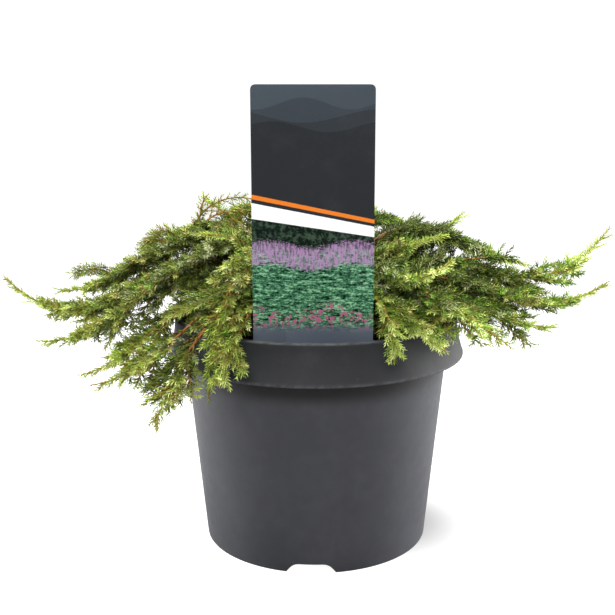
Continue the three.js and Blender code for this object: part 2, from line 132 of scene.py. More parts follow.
class NodeSheet:
    """Writes the nodes of one shader or geometry tree, each in a line."""

    def __init__(self, tree: bpy.types.NodeTree) -> None:
        """Starts on a tree."""
        self.tree = tree

    def feed(self, socket: bpy.types.NodeSocket, value: Any) -> None:
        """Links or sets one input.

        Args:
            socket: The input.
            value: Another node's output, or a plain value.
        """
        if isinstance(value, bpy.types.NodeSocket):
            self.tree.links.new(value, socket)
        else:
            socket.default_value = value

    def node(self, kind: str, inputs: dict[Any, Any] | None = None, **settings: Any) -> bpy.types.Node:
        """Adds a node.

        Args:
            kind: The node's type.
            inputs: What each input, by name or number, gets.
            **settings: The node's own properties.

        Returns:
            The new node.
        """
        node = self.tree.nodes.new(kind)
        for name, value in settings.items():
            setattr(node, name, value)
        for key, value in (inputs or {}).items():
            self.feed(node.inputs[key], value)
        return node

    def first(self, kind: str, inputs: dict[Any, Any] | None = None, **settings: Any) -> Any:
        """Adds a node and returns its first output."""
        return self.node(kind, inputs, **settings).outputs[0]

    def math(self, operation: str, *values: Any) -> Any:
        """Returns the result of an operation on some values in order."""
        return self.first("ShaderNodeMath", dict(enumerate(values)), operation=operation)

    def times(self, value: Any, factor: Any) -> Any:
        """Returns a product."""
        return self.math("MULTIPLY", value, factor)

    def scaled(self, value: Any, factor: Any, base: Any) -> Any:
        """Returns a value times a factor, plus a base."""
        return self.math("MULTIPLY_ADD", value, factor, base)

    def rest(self, share: Any) -> Any:
        """Returns what a share leaves of 1."""
        return self.math("SUBTRACT", 1.0, share)

    def mix(self, share: Any, first: Any, second: Any) -> Any:
        """Returns a mix of two colours by the share of the second."""
        return self.node("ShaderNodeMix", {0: share, 6: first, 7: second}, data_type="RGBA").outputs[2]

    def spread(self, value: Any, low: float, high: float, to_low: Any = 0.0, to_high: Any = 1.0) -> Any:
        """Returns a value mapped from one range onto another with soft ends."""
        inputs = {0: value, 1: low, 2: high, 3: to_low, 4: to_high}
        return self.first("ShaderNodeMapRange", inputs, interpolation_type="SMOOTHSTEP")

    def noise(self, where: Any, scale: Any, detail: float = 4.0, rough: float = 0.55) -> Any:
        """Returns noise from 0 to 1, by its waves per metre, its octaves and how strong they are."""
        inputs = {"Vector": where, "Scale": scale, "Detail": detail, "Roughness": rough}
        return self.first("ShaderNodeTexNoise", inputs)

    def object_place(self) -> Any:
        """Returns the place on the object."""
        return self.node("ShaderNodeTexCoord").outputs["Object"]

    def named(self, name: str) -> Any:
        """Returns a number that is stored on the geometry."""
        node = self.node("GeometryNodeInputNamedAttribute", {"Name": name}, data_type="FLOAT")
        return next(socket for socket in node.outputs if socket.enabled and socket.name == "Attribute")


SOCKETS = {
    float: "NodeSocketFloat", int: "NodeSocketInt", "colour": "NodeSocketColor",
    "geometry": "NodeSocketGeometry", "object": "NodeSocketObject", "material": "NodeSocketMaterial",
}


class NodeRecipe(NodeSheet):
    """A node group with named inputs and outputs, built once."""

    def __init__(self, name: str, tree_type: str, inputs: dict[str, Any], outputs: dict[str, Any]) -> None:
        """Makes the empty group.

        Args:
            name: The group's name.
            tree_type: ShaderNodeTree or GeometryNodeTree.
            inputs: Each input's name and socket kind.
            outputs: Each output's name and socket kind.
        """
        super().__init__(bpy.data.node_groups.new(name, tree_type))
        self.identifiers: dict[str, str] = {}
        for side, sockets in (("INPUT", inputs), ("OUTPUT", outputs)):
            for label, kind in sockets.items():
                socket = self.tree.interface.new_socket(name=label, in_out=side, socket_type=SOCKETS[kind])
                self.identifiers[label] = socket.identifier
        self.source = self.node("NodeGroupInput").outputs
        self.result = self.node("NodeGroupOutput").inputs

    def give(self, name: str, value: Any) -> None:
        """Feeds an output of the group."""
        self.feed(self.result[name], value)


def mottle_recipe() -> NodeRecipe:
    """Builds a colour that wanders between two others.

    Returns:
        The recipe.
    """
    fineness, fine_share, soft = 5.3, 0.4, (0.36, 0.64)
    inputs = {"Dark": "colour", "Light": "colour", "Scale": float}
    mottle = NodeRecipe("mottle", "ShaderNodeTree", inputs, {"Colour": "colour"})
    place, scale = mottle.object_place(), mottle.source["Scale"]
    wide, fine = mottle.noise(place, scale), mottle.noise(place, mottle.times(scale, fineness))
    both = mottle.scaled(fine, fine_share, mottle.times(wide, 1 - fine_share))
    share = mottle.spread(both, *soft)
    mottle.give("Colour", mottle.mix(share, mottle.source["Dark"], mottle.source["Light"]))
    return mottle


def grit_recipe() -> NodeRecipe:
    """Builds the height of fine grit, and a roughness that changes in broad patches.

    Returns:
        The recipe.
    """
    octaves, breadth, soft = (3.0, 0.6), 0.045, (0.3, 0.7)
    inputs = {"Scale": float, "Smooth": float, "Rough": float}
    grit = NodeRecipe("grit", "ShaderNodeTree", inputs, {"Height": float, "Roughness": float})
    place, scale = grit.object_place(), grit.source["Scale"]
    grit.give("Height", grit.noise(place, scale, *octaves))
    broad = grit.noise(place, grit.times(scale, breadth), *octaves)
    grit.give("Roughness", grit.spread(broad, *soft, grit.source["Smooth"], grit.source["Rough"]))
    return grit


def dust_recipe() -> NodeRecipe:
    """Builds a thin film and fine specks of dust over a colour.

    Returns:
        The recipe.
    """
    cloud, cloud_soft = (34.0, 5.0, 0.65), (0.46, 0.74)
    specks, speck_soft = (620.0, 2.0, 0.5), (0.68, 0.76)
    inputs = {"Colour": "colour", "Dust": "colour", "Amount": float}
    dust = NodeRecipe("dust", "ShaderNodeTree", inputs, {"Colour": "colour"})
    place = dust.object_place()
    film = dust.spread(dust.noise(place, *cloud), *cloud_soft)
    dots = dust.spread(dust.noise(place, *specks), *speck_soft)
    mask = dust.times(dust.math("MAXIMUM", film, dots), dust.source["Amount"])
    dust.give("Colour", dust.mix(mask, dust.source["Colour"], dust.source["Dust"]))
    return dust


RECIPES = {"mottle": mottle_recipe(), "grit": grit_recipe(), "dust": dust_recipe()}


class Paint(NodeSheet):
    """One material that is being written around its Principled shader."""

    def __init__(self, name: str) -> None:
        """Makes the material.

        Args:
            name: The material's name.
        """
        self.material = bpy.data.materials.new(name)
        self.material.use_nodes = True
        super().__init__(self.material.node_tree)
        self.shader = next(n for n in self.tree.nodes if n.type == "BSDF_PRINCIPLED")
        self.place = self.object_place()

    def set(self, name: str, value: Any) -> None:
        """Sets or feeds an input of the Principled shader."""
        self.feed(self.shader.inputs[name], value)

    def recipe(self, name: str, inputs: dict[str, Any]) -> Any:
        """Places a shared effect and returns its outputs."""
        return self.node("ShaderNodeGroup", inputs, node_tree=RECIPES[name].tree).outputs

    def mottled(self, dark: Sequence[float], light: Sequence[float], scale: float) -> Any:
        """Returns a colour that wanders between two others."""
        return self.recipe("mottle", {"Dark": linear(dark), "Light": linear(light), "Scale": scale})["Colour"]

    def grit(self, scale: float, roughness: Pair) -> Any:
        """Returns the height of fine grit and a roughness that changes within a range."""
        return self.recipe("grit", {"Scale": scale, "Smooth": roughness[0], "Rough": roughness[1]})

    def dusted(self, colour: Any, dust: Colour, amount: float) -> Any:
        """Returns a colour with a little dust on it."""
        return self.recipe("dust", {"Colour": colour, "Dust": linear(dust), "Amount": amount})["Colour"]

    def finished(self, colour: Any, roughness: Any, specular: float, height: Any = None,
                 relief: Pair = (0.0, 0.0)) -> Finish:
        """Sets the surface, with relief where a height is given.

        Args:
            colour: The base colour.
            roughness: The roughness.
            specular: The specular level.
            height: The relief's height.
            relief: How much of the relief shows, and its depth in millimetres.

        Returns:
            The finished material.
        """
        self.set("Base Color", colour)
        self.set("Roughness", roughness)
        self.set("Specular IOR Level", specular)
        if height is not None:
            inputs = {"Strength": relief[0], "Distance": relief[1] * MM, "Height": height}
            self.set("Normal", self.first("ShaderNodeBump", inputs))
        return self.material


# Finishes


@dataclass(frozen=True)
class PotPlastic:
    """Satin anthracite plastic with fine moulded rings and faint dust, and painted light: a rim band painted
    darker as shade from the crown, paler edges on the skirt's bead and the rim that are partly wear and
    partly painted highlight, and painted shade under the skirt.
    """

    colour: Colour = (51, 52, 57)
    uneven: int = 4
    patches: float = 26.0
    # Painted shade under the skirt: its colour, and the heights over which it fades out downwards.
    shade: Colour = (8, 8, 9)
    painted_shade_span: Pair = (105.0, 119.0)
    # The rim band's darker colour is painted shade from the crown that hangs over the rim.
    band: Colour = (27, 28, 31)
    band_span: Pair = (121.8, 122.6)
    # Paler edges on the skirt's bead and the rim: partly wear, partly painted highlight.
    wear_and_highlight: Colour = (70, 71, 74)
    bead_height: float = 123.0
    bead_reach: float = 1.6
    rim_span: Pair = (145.2, 146.6)
    rub_scale: float = 210.0
    rub_span: Wave = (0.34, 0.62, 0.35, 1.0)
    dust_colour: Colour = (78, 78, 78)
    dust: float = 0.14
    grain: float = 1900.0
    rings: float = 1300.0
    ring_stretch: Place = (0.04, 0.04, 1.0)
    ring_share: float = 0.7
    roughness: Pair = (0.46, 0.56)
    band_roughness: float = 0.7
    specular: float = 0.38
    relief: Pair = (0.22, 0.1)

    def material(self) -> Finish:
        """Writes the pot's material.

        Returns:
            The material.
        """
        paint = Paint("pot_plastic")
        wall = paint.mottled(self.colour, [part + self.uneven for part in self.colour], self.patches)
        height = paint.node("ShaderNodeSeparateXYZ", {0: paint.place}).outputs[2]
        # Painted shade: the rim band is painted darker, for the crown's shade over the rim.
        above = paint.spread(height, *metres(self.band_span))
        base = paint.mix(above, wall, linear(self.band))
        # The bead and the rim's top edge turn paler in rubbed patches: partly wear, partly painted highlight.
        off_bead = paint.math("ABSOLUTE", paint.math("SUBTRACT", height, self.bead_height * MM))
        bead = paint.rest(paint.spread(off_bead, 0.0, self.bead_reach * MM))
        rim = paint.spread(height, *metres(self.rim_span))
        rubbed = paint.spread(paint.noise(paint.place, self.rub_scale, 3.0), *self.rub_span)
        edges = paint.times(paint.math("MAXIMUM", bead, rim), rubbed)
        dusty = paint.dusted(paint.mix(edges, base, linear(self.wear_and_highlight)), self.dust_colour, self.dust)
        # Painted shade under the skirt, darkest just below it and fading out downwards.
        under = paint.times(paint.spread(height, *metres(self.painted_shade_span)), paint.rest(above))
        colour = paint.mix(under, dusty, linear(self.shade))
        grit = paint.grit(self.grain, self.roughness)
        roughness = paint.spread(above, 0.0, 1.0, grit["Roughness"], self.band_roughness)
        flat = paint.first("ShaderNodeMapping", {0: paint.place, 3: self.ring_stretch})
        fine = paint.times(grit["Height"], 1 - self.ring_share)
        height = paint.scaled(paint.noise(flat, self.rings, 2.0), self.ring_share, fine)
        return paint.finished(colour, roughness, self.specular, height, self.relief)


@dataclass(frozen=True)
class CompostEarth:
    """Moist dark compost, with variants for its crumbs and its bark chips."""

    name: str = "compost_earth"
    dark: Colour = (30, 22, 17)
    light: Colour = (66, 48, 35)
    scale: float = 210.0
    grain: float = 4.0
    roughness: Pair = (0.82, 0.97)
    specular: float = 0.3
    relief: Pair = (0.8, 0.8)

    def material(self) -> Finish:
        """Writes the earth's material.

        Returns:
            The material.
        """
        paint = Paint(self.name)
        colour = paint.mottled(self.dark, self.light, self.scale)
        grit = paint.grit(self.scale * self.grain, self.roughness)
        return paint.finished(colour, grit["Roughness"], self.specular, grit["Height"], self.relief)


@dataclass(frozen=True)
class BarkSkin:
    """Thin flaking bark: russet on its ridges, grey-brown and dark in its furrows."""

    furrow: Colour = (58, 38, 26)
    ridge: Colour = (142, 92, 56)
    flake: Colour = (122, 104, 86)
    ridge_span: Pair = (0.25, 0.62)
    flake_scale: float = 160.0
    flake_span: Wave = (0.5, 0.66, 0.0, 0.6)
    grain: float = 1500.0
    roughness: Pair = (0.7, 0.9)
    specular: float = 0.3
    relief: Pair = (0.6, 0.3)

    def material(self) -> Finish:
        """Writes the bark's material, which reads the relief stored on the mesh.

        Returns:
            The material.
        """
        paint = Paint("bark_skin")
        stored = paint.node("ShaderNodeAttribute", attribute_name="relief").outputs["Fac"]
        body = paint.mix(paint.spread(stored, *self.ridge_span), linear(self.furrow), linear(self.ridge))
        patches = paint.spread(paint.noise(paint.place, self.flake_scale, 3.0), *self.flake_span)
        colour = paint.mix(patches, body, linear(self.flake))
        grit = paint.grit(self.grain, self.roughness)
        return paint.finished(colour, grit["Roughness"], self.specular, grit["Height"], self.relief)


@dataclass(frozen=True)
class LeafGreen:
    """One plain colour of needles or of a twig's skin, a little uneven in its gloss."""

    name: str
    colour: Colour
    roughness: Pair = (0.5, 0.7)
    grain: float = 900.0
    specular: float = 0.2

    def material(self) -> Finish:
        """Writes the material.

        Returns:
            The material.
        """
        paint = Paint(self.name)
        grit = paint.grit(self.grain, self.roughness)
        return paint.finished(linear(self.colour), grit["Roughness"], self.specular)


@dataclass(frozen=True)
class PrintedCard:
    """The label's matt print: hills under a slate sky, slanted bands and planted strips.

    The print is measured in shares of the card's width and height. A hill or a bed has a rolling edge. A band
    lies between two straight lines, each given by its height at the left and at the right edge.
    """

    left: float
    foot: float
    width: float
    height: float
    front: float
    body: Colour = (44, 46, 49)
    hills: tuple[tuple[Wave, Colour], ...] = (
        ((0.845, 0.02, 1.1, 0.4), (51, 55, 59)),
        ((0.885, 0.025, 0.8, 2.6), (58, 64, 70)),
        ((0.93, 0.022, 1.3, 4.4), (66, 73, 80)),
    )
    bands: tuple[tuple[Pair, Pair, Colour], ...] = (
        ((0.5, 0.43), (0.56, 0.47), (250, 250, 249)),
        ((0.575, 0.482), (0.592, 0.497), (226, 124, 44)),
    )
    slate: Colour = (90, 98, 110)
    slate_span: Pair = (0.05, 0.11)
    greens: tuple[Colour, Colour, Colour] = ((12, 26, 22), (58, 108, 78), (142, 194, 152))
    lilac: Colour = (166, 132, 172)
    rose: Colour = (168, 96, 128)
    dusk: tuple[Colour, Colour] = ((18, 28, 24), (58, 76, 60))
    middle_span: Pair = (0.42, 0.49)
    light_span: Pair = (0.5, 0.6)
    dusk_span: Pair = (0.44, 0.62)
    spike_span: Wave = (0.42, 0.56, 0.25, 0.95)
    rose_span: Pair = (0.52, 0.56)
    leaf_noise: Pair = (4.0, 0.7)
    hedge_bed: Wave = (0.38, 0.7, 0.012, 1.0)
    lilac_bed: Wave = (0.315, 0.4, 0.014, 0.4)
    rose_bed: Wave = (0.02, 0.15, 0.02, 2.2)
    bed_waves: float = 9.0
    bed_rag: float = 0.08
    bed_soft: float = 0.01
    dust_colour: Colour = (120, 120, 120)
    dust: float = 0.05
    grain: float = 700.0
    roughness: Pair = (0.42, 0.5)
    specular: float = 0.0
    relief: Pair = (0.05, 0.05)

    def material(self) -> Finish:
        """Writes the card's material from layers that lie on each other, from the back to the front.

        Returns:
            The material.
        """
        paint = Paint("printed_card")
        axes = paint.node("ShaderNodeSeparateXYZ", {0: paint.place}).outputs
        across = paint.math("DIVIDE", paint.math("SUBTRACT", axes[0], self.left * MM), self.width * MM)
        upward = paint.math("DIVIDE", paint.math("SUBTRACT", axes[2], self.foot * MM), self.height * MM)

        def above(line: Any) -> Any:
            """Masks what is above a line across the card."""
            return paint.math("GREATER_THAN", upward, line)

        def slant(ends: Pair) -> Any:
            """Draws a straight line from the left edge to the right one."""
            return paint.scaled(across, ends[1] - ends[0], ends[0])

        colour: Any = linear(self.body)
        for (middle, swing, waves, phase), shade in self.hills:
            angle = paint.scaled(across, waves * tau, phase)
            crest = paint.scaled(paint.math("SINE", angle), swing, middle)
            colour = paint.mix(above(crest), colour, linear(shade))
        picture = self.planting(paint, across, upward)
        colour = paint.mix(paint.rest(above(slant(self.bands[0][0]))), colour, picture)
        for low, high, shade in self.bands:
            between = paint.times(above(slant(low)), paint.rest(above(slant(high))))
            colour = paint.mix(between, colour, linear(shade))
        colour = paint.mix(paint.spread(upward, *self.slate_span, 1.0, 0.0), colour, linear(self.slate))
        printed = paint.math("LESS_THAN", axes[1], self.front * MM)
        dusty = paint.dusted(paint.mix(printed, linear(self.body), colour), self.dust_colour, self.dust)
        grit = paint.grit(self.grain, self.roughness)
        return paint.finished(dusty, grit["Roughness"], self.specular, grit["Height"], self.relief)

    def planting(self, paint: Paint, across: Any, upward: Any) -> Any:
        """Writes the planting: a dusky hedge, a lilac bed, a carpet of three greens and a rose bed.

        Args:
            paint: The card's paint.
            across: The place across the card from 0 to 1.
            upward: The height on the card from 0 to 1.

        Returns:
            The colour of the planting.
        """

        def pattern(stretch: Place, tilt: float, fineness: float) -> Any:
            """Draws a noise that is stretched and tilted on the card."""
            where = paint.first("ShaderNodeMapping", {0: paint.place, 2: (0.0, tilt, 0.0), 3: stretch})
            return paint.noise(where, fineness, *self.leaf_noise)

        leaves = pattern((1.0, 1.0, 2.0), 0.0, 620.0)
        boughs = pattern((0.5, 1.0, 2.4), 0.3, 330.0)
        spikes = pattern((1.2, 1.0, 0.35), -0.15, 640.0)
        clumps = pattern((1.0, 1.0, 1.0), 0.0, 300.0)

        def bed(low: float, high: float, swing: float, phase: float) -> Any:
            """Masks a bed with rolling, ragged edges."""
            angle = paint.scaled(across, self.bed_waves, phase)
            rolling = paint.scaled(paint.math("SINE", angle), -swing, upward)
            ragged = paint.scaled(paint.math("SUBTRACT", leaves, 0.5), self.bed_rag, rolling)
            begun = paint.spread(ragged, low - self.bed_soft, low + self.bed_soft)
            left = paint.spread(ragged, high - self.bed_soft, high + self.bed_soft, 1.0, 0.0)
            return paint.times(begun, left)

        shade = paint.scaled(leaves, 0.5, paint.times(boughs, 0.5))
        dark, middle, light = (linear(green) for green in self.greens)
        green = paint.mix(paint.spread(shade, *self.middle_span), dark, middle)
        green = paint.mix(paint.spread(shade, *self.light_span), green, light)
        hedge = paint.mix(paint.spread(clumps, *self.dusk_span), *(linear(tone) for tone in self.dusk))
        colour = paint.mix(bed(*self.hedge_bed), green, hedge)
        lilac = paint.times(bed(*self.lilac_bed), paint.spread(spikes, *self.spike_span))
        colour = paint.mix(lilac, colour, linear(self.lilac))
        rose = paint.times(bed(*self.rose_bed), paint.spread(clumps, *self.rose_span))
        return paint.mix(rose, colour, linear(self.rose))


@dataclass(frozen=True)
class StudioWhite:
    """The floor: bright to the camera, quieter as a light, with a soft shadow beside the pot."""

    dark: Colour = (132, 132, 132)
    light: Colour = (140, 140, 140)
    scale: float = 3.0
    glow: float = 1.0
    bounce: float = 0.02
    shadow_place: Place = (48.0, 0.0, 0.0)
    shadow_span: Pair = (18.0, 84.0)
    shadow_depth: float = 0.86
    roughness: float = 0.95

    def material(self) -> Finish:
        """Writes the floor's material.

        Returns:
            The material.
        """
        paint = Paint("studio_white")
        gap = {0: paint.place, 1: metres(self.shadow_place)}
        away = paint.node("ShaderNodeVectorMath", gap, operation="DISTANCE").outputs["Value"]
        shade = paint.spread(away, *metres(self.shadow_span), self.shadow_depth, 0.0)
        seen = paint.node("ShaderNodeLightPath").outputs["Is Camera Ray"]
        level = paint.spread(seen, 0.0, 1.0, self.bounce, paint.times(paint.rest(shade), self.glow))
        paint.set("Emission Color", paint.first("ShaderNodeCombineColor", {0: level, 1: level, 2: level}))
        paint.set("Emission Strength", 1.0)
        return paint.finished(paint.mottled(self.dark, self.light, self.scale), self.roughness, 0.0)


# Mesh work


def rounded(path: Sequence[Pair], radius: float, steps: int = 4, closed: bool = False) -> list[Pair]:
    """Rounds the corners of a flat path.

    Args:
        path: The corners in order.
        radius: How far a corner is cut back at most.
        steps: The number of points on a rounded corner, less one.
        closed: Whether the last corner joins the first.

    Returns:
        The rounded path.
    """
    most_of_side = 0.45
    corners = [np.array(p, float) for p in path]
    count = len(corners)
    result: list[Pair] = []
    for i, corner in enumerate(corners):
        if not closed and i in (0, count - 1):
            result.append((corner[0], corner[1]))
            continue
        before, after = corners[i - 1] - corner, corners[(i + 1) % count] - corner
        back, on = np.linalg.norm(before), np.linalg.norm(after)
        cut = min(radius, most_of_side * back, most_of_side * on)
        first, last = corner + before / back * cut, corner + after / on * cut
        for t in np.linspace(0, 1, steps + 1):
            place = first * (1 - t) ** 2 + corner * 2 * t * (1 - t) + last * t**2
            result.append((place[0], place[1]))
    return result


def turned(profile: Sequence[Pair], segments: int) -> tuple[Array, list[tuple[int, ...]]]:
    """Turns a profile around the Z axis into a closed skin.

    Args:
        profile: Radius and height from one pole, along the outside, to the other pole.
        segments: The number of faces around.

    Returns:
        The vertices in millimetres and the faces, which point outwards.
    """
    angles = np.arange(segments) * tau / segments
    vertices: list[Place] = []
    rings: list[list[int]] = []
    for radius, height in profile:
        start = len(vertices)
        if radius < TINY:
            vertices.append((0.0, 0.0, height))
            rings.append([start] * segments)
        else:
            vertices += [(radius * cos(a), radius * sin(a), height) for a in angles]
            rings.append(list(range(start, start + segments)))
    faces: list[tuple[int, ...]] = []
    for low, high in zip(rings, rings[1:]):
        for i in range(segments):
            j = (i + 1) % segments
            faces.append(tuple(dict.fromkeys((low[i], low[j], high[j], high[i]))))
    return np.array(vertices), faces


def placed(name: str, data: Any) -> Item:
    """Makes an object at the origin.

    Args:
        name: Its name.
        data: Its mesh, camera or light.

    Returns:
        The object, linked to the scene.
    """
    item = bpy.data.objects.new(name, data)
    bpy.context.scene.collection.objects.link(item)
    return item


def new_object(name: str, vertices: Iterable[Any], faces: Iterable[Any],
               *materials: Finish) -> Item:
    """Makes a mesh object at the origin.

    Args:
        name: Its name.
        vertices: The vertices in millimetres.
        faces: The faces as vertex numbers.
        *materials: Its materials.

    Returns:
        The object, linked to the scene.
    """
    mesh = bpy.data.meshes.new(name)
    places = np.asarray(list(vertices), float) * MM
    mesh.from_pydata(places.tolist(), [], [tuple(face) for face in faces])
    mesh.validate()
    for material in materials:
        mesh.materials.append(material)
    return placed(name, mesh)


def store(mesh: bpy.types.Mesh, name: str, domain: str, values: Any) -> None:
    """Stores a number on each point or face of a mesh."""
    mesh.attributes.new(name, "FLOAT", domain).data.foreach_set("value", values)


def smooth_below(item: Item, degrees: float) -> None:
    """Shades a mesh smooth, apart from edges that are sharper than an angle."""
    item.data.shade_smooth()
    item.data.set_sharp_from_angle(angle=radians(degrees))


def made_plain(item: Item) -> None:
    """Gives an object its finished mesh, and takes its modifiers off.

    Args:
        item: The object, which keeps its name.
    """
    graph = bpy.context.evaluated_depsgraph_get()
    mesh = bpy.data.meshes.new_from_object(item.evaluated_get(graph), depsgraph=graph)
    item.modifiers.clear()
    old = item.data
    item.data = mesh
    bpy.data.meshes.remove(old)
    mesh.name = item.name


def grow_by(item: Item, recipe: NodeRecipe, values: dict[str, Any]) -> None:
    """Runs a geometry recipe on an object and keeps the result as its plain mesh.

    Args:
        item: The host mesh.
        recipe: The geometry recipe.
        values: The value of each named input.
    """
    modifier = item.modifiers.new(recipe.tree.name, "NODES")
    modifier.node_group = recipe.tree
    for name, value in values.items():
        modifier[recipe.identifiers[name]] = value
    made_plain(item)


def drop(*items: Item) -> None:
    """Removes helper objects with their meshes."""
    for mesh in [item.data for item in items]:
        bpy.data.meshes.remove(mesh)


def report(item: Item, slot: Slot, nodes: Sequence[str] = ()) -> None:
    """Hands a finished piece to the frame.

    Args:
        item: The piece.
        slot: The record's material slot; not used.
        nodes: The CAD nodes that it stands for.
    """
    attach(item, BODY)
    if nodes:
        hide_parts(*nodes)
    triangles = sum(len(face.vertices) - 2 for face in item.data.polygons)
    LOG.info("%s: %d triangles, stands for %d nodes", item.name, triangles, len(nodes))


# The pot


@dataclass
class NurseryPot:
    """A round nursery pot with a rim band, an overhanging skirt and a notched foot ring."""

    height: float = 146.5
    wall: float = 2.0
    foot_radius: float = 72.4
    body_top_radius: float = 84.3
    skirt_foot: float = 122.1
    skirt_radius: float = 95.0
    skirt_inside: float = 93.0
    skirt_roof: float = 128.0
    bead_height: float = 1.9
    bead_step: float = 0.4
    flare_foot: float = 2.7
    flare_drop: float = 3.0
    flare_power: float = 1.7
    flare_steps: int = 9
    band_foot: float = 134.5
    rim_radius: float = 90.8
    rim_inside: float = 86.2
    throat_radius: float = 84.8
    recess: float = 6.5
    foot_inside: float = 61.0
    disc_radius: float = 44.0
    floor: float = 2.2
    edge: float = 0.9
    notches: int = 3
    notch_azimuth: float = 267.6
    notch_height: float = 6.0
    notch_top: float = 21.0
    notch_foot: float = 31.0
    notch_flare: float = 3.0
    notch_corner: float = 4.0
    drains: int = 6
    drain_radius: float = 4.5
    drain_circle: float = 54.0
    drain_sides: int = 24
    segments: int = 192
    sharp: float = 35.0

    def wall_radius(self, height: float) -> float:
        """Returns the body's outer radius at a height."""
        return self.foot_radius + (self.body_top_radius - self.foot_radius) * height / self.skirt_foot

    def profile(self) -> list[Pair]:
        """Draws the pot's section from the underside's middle to the floor's middle.

        Returns:
            Radius and height of each point.
        """
        floor_top = self.recess + self.floor
        outside = [
            (0.0, 0.0), (self.disc_radius, 0.0), (self.disc_radius + self.wall, self.recess),
            (self.foot_inside - self.wall, self.recess), (self.foot_inside, 0.0),
            (self.foot_radius, 0.0), (self.body_top_radius, self.skirt_foot),
            (self.wall_radius(self.skirt_roof), self.skirt_roof),
            (self.skirt_inside - self.bead_step, self.skirt_roof), (self.skirt_inside, self.skirt_foot),
            (self.skirt_radius, self.skirt_foot), (self.skirt_radius, self.skirt_foot + self.bead_height),
            *self.flare(self.skirt_radius - self.bead_step, self.skirt_foot + self.flare_foot),
            (self.rim_radius, self.height),
        ]
        inside = [
            (self.rim_inside, self.height), (self.throat_radius, self.band_foot),
            (self.body_top_radius - self.wall, self.skirt_foot),
            (self.wall_radius(floor_top) - self.wall, floor_top),
            (self.disc_radius + self.wall, floor_top), (self.disc_radius, self.floor), (0.0, self.floor),
        ]
        return rounded([*outside, *inside], self.edge)

    def flare(self, radius: float, foot: float) -> list[Pair]:
        """Draws the hollow flare from the skirt's bead up to the rim.

        Args:
            radius: Its radius at the bead.
            foot: Its height there.

        Returns:
            Radius and height of each point.
        """
        rise, draw_in = self.height - self.flare_drop - foot, radius - self.rim_radius
        shares = [i / self.flare_steps for i in range(self.flare_steps + 1)]
        return [(self.rim_radius + draw_in * (1 - t) ** self.flare_power, foot + rise * t) for t in shares]

    def notch_cutter(self, azimuth: float) -> Item:
        """Makes the block that opens one notch in the foot ring.

        Args:
            azimuth: Where the notch is, in radians.

        Returns:
            The cutter.
        """
        foot, top = self.notch_foot / 2, self.notch_top / 2
        outline = rounded([
            (-foot - self.notch_flare, -self.notch_height), (foot + self.notch_flare, -self.notch_height),
            (foot, 0.0), (top, self.notch_height), (-top, self.notch_height), (-foot, 0.0),
        ], self.notch_corner, 5, closed=True)
        near, far = self.foot_inside - 2 * self.wall, self.foot_radius + 2 * self.wall
        out = np.array([cos(azimuth), sin(azimuth), 0.0])
        level = np.array([-sin(azimuth), cos(azimuth), 0.0])
        places = [out * depth + level * x + np.array([0, 0, z]) for depth in (near, far) for x, z in outline]
        return self.prism("notch_cutter", places)

    def drain_cutter(self, azimuth: float) -> Item:
        """Makes the rod that opens one drain hole.

        Args:
            azimuth: Where the hole is, in radians.

        Returns:
            The cutter.
        """
        x, y = np.array([cos(azimuth), sin(azimuth)]) * self.drain_circle
        angles = np.arange(self.drain_sides) * tau / self.drain_sides
        ring = [(x + self.drain_radius * cos(a), y + self.drain_radius * sin(a)) for a in angles]
        ends = (self.recess - self.floor, self.recess + 2 * self.floor)
        return self.prism("drain_cutter", [(*place, z) for z in ends for place in ring])

    @staticmethod
    def prism(name: str, places: Sequence[Any]) -> Item:
        """Makes a closed prism between two outlines of the same count.

        Args:
            name: Its name.
            places: The points of the first outline and then of the second.

        Returns:
            The prism.
        """
        half = len(places) // 2
        faces: list[Any] = [tuple(range(half))[::-1], tuple(range(half, 2 * half))]
        faces += [(i, (i + 1) % half, (i + 1) % half + half, i + half) for i in range(half)]
        item = new_object(name, places, faces)
        work = bmesh.new()
        work.from_mesh(item.data)
        bmesh.ops.recalc_face_normals(work, faces=work.faces)
        work.to_mesh(item.data)
        work.free()
        return item

    def build(self) -> None:
        """Makes the pot: turned, notched, drained and dressed."""
        vertices, faces = turned(self.profile(), self.segments)
        pot = new_object("nursery_pot", vertices, faces, PotPlastic().material())
        first = radians(self.notch_azimuth)
        cutters = [self.notch_cutter(first + i * tau / self.notches) for i in range(self.notches)]
        cutters += [self.drain_cutter(first + (i + 0.5) * tau / self.drains) for i in range(self.drains)]
        for cutter in cutters:
            cut = pot.modifiers.new(cutter.name, "BOOLEAN")
            cut.object = cutter
            cut.operation = "DIFFERENCE"
            cut.solver = "MANIFOLD"
        made_plain(pot)
        drop(*cutters)
        smooth_below(pot, self.sharp)
        report(pot, Slot.POT, ["pot"])


# The compost


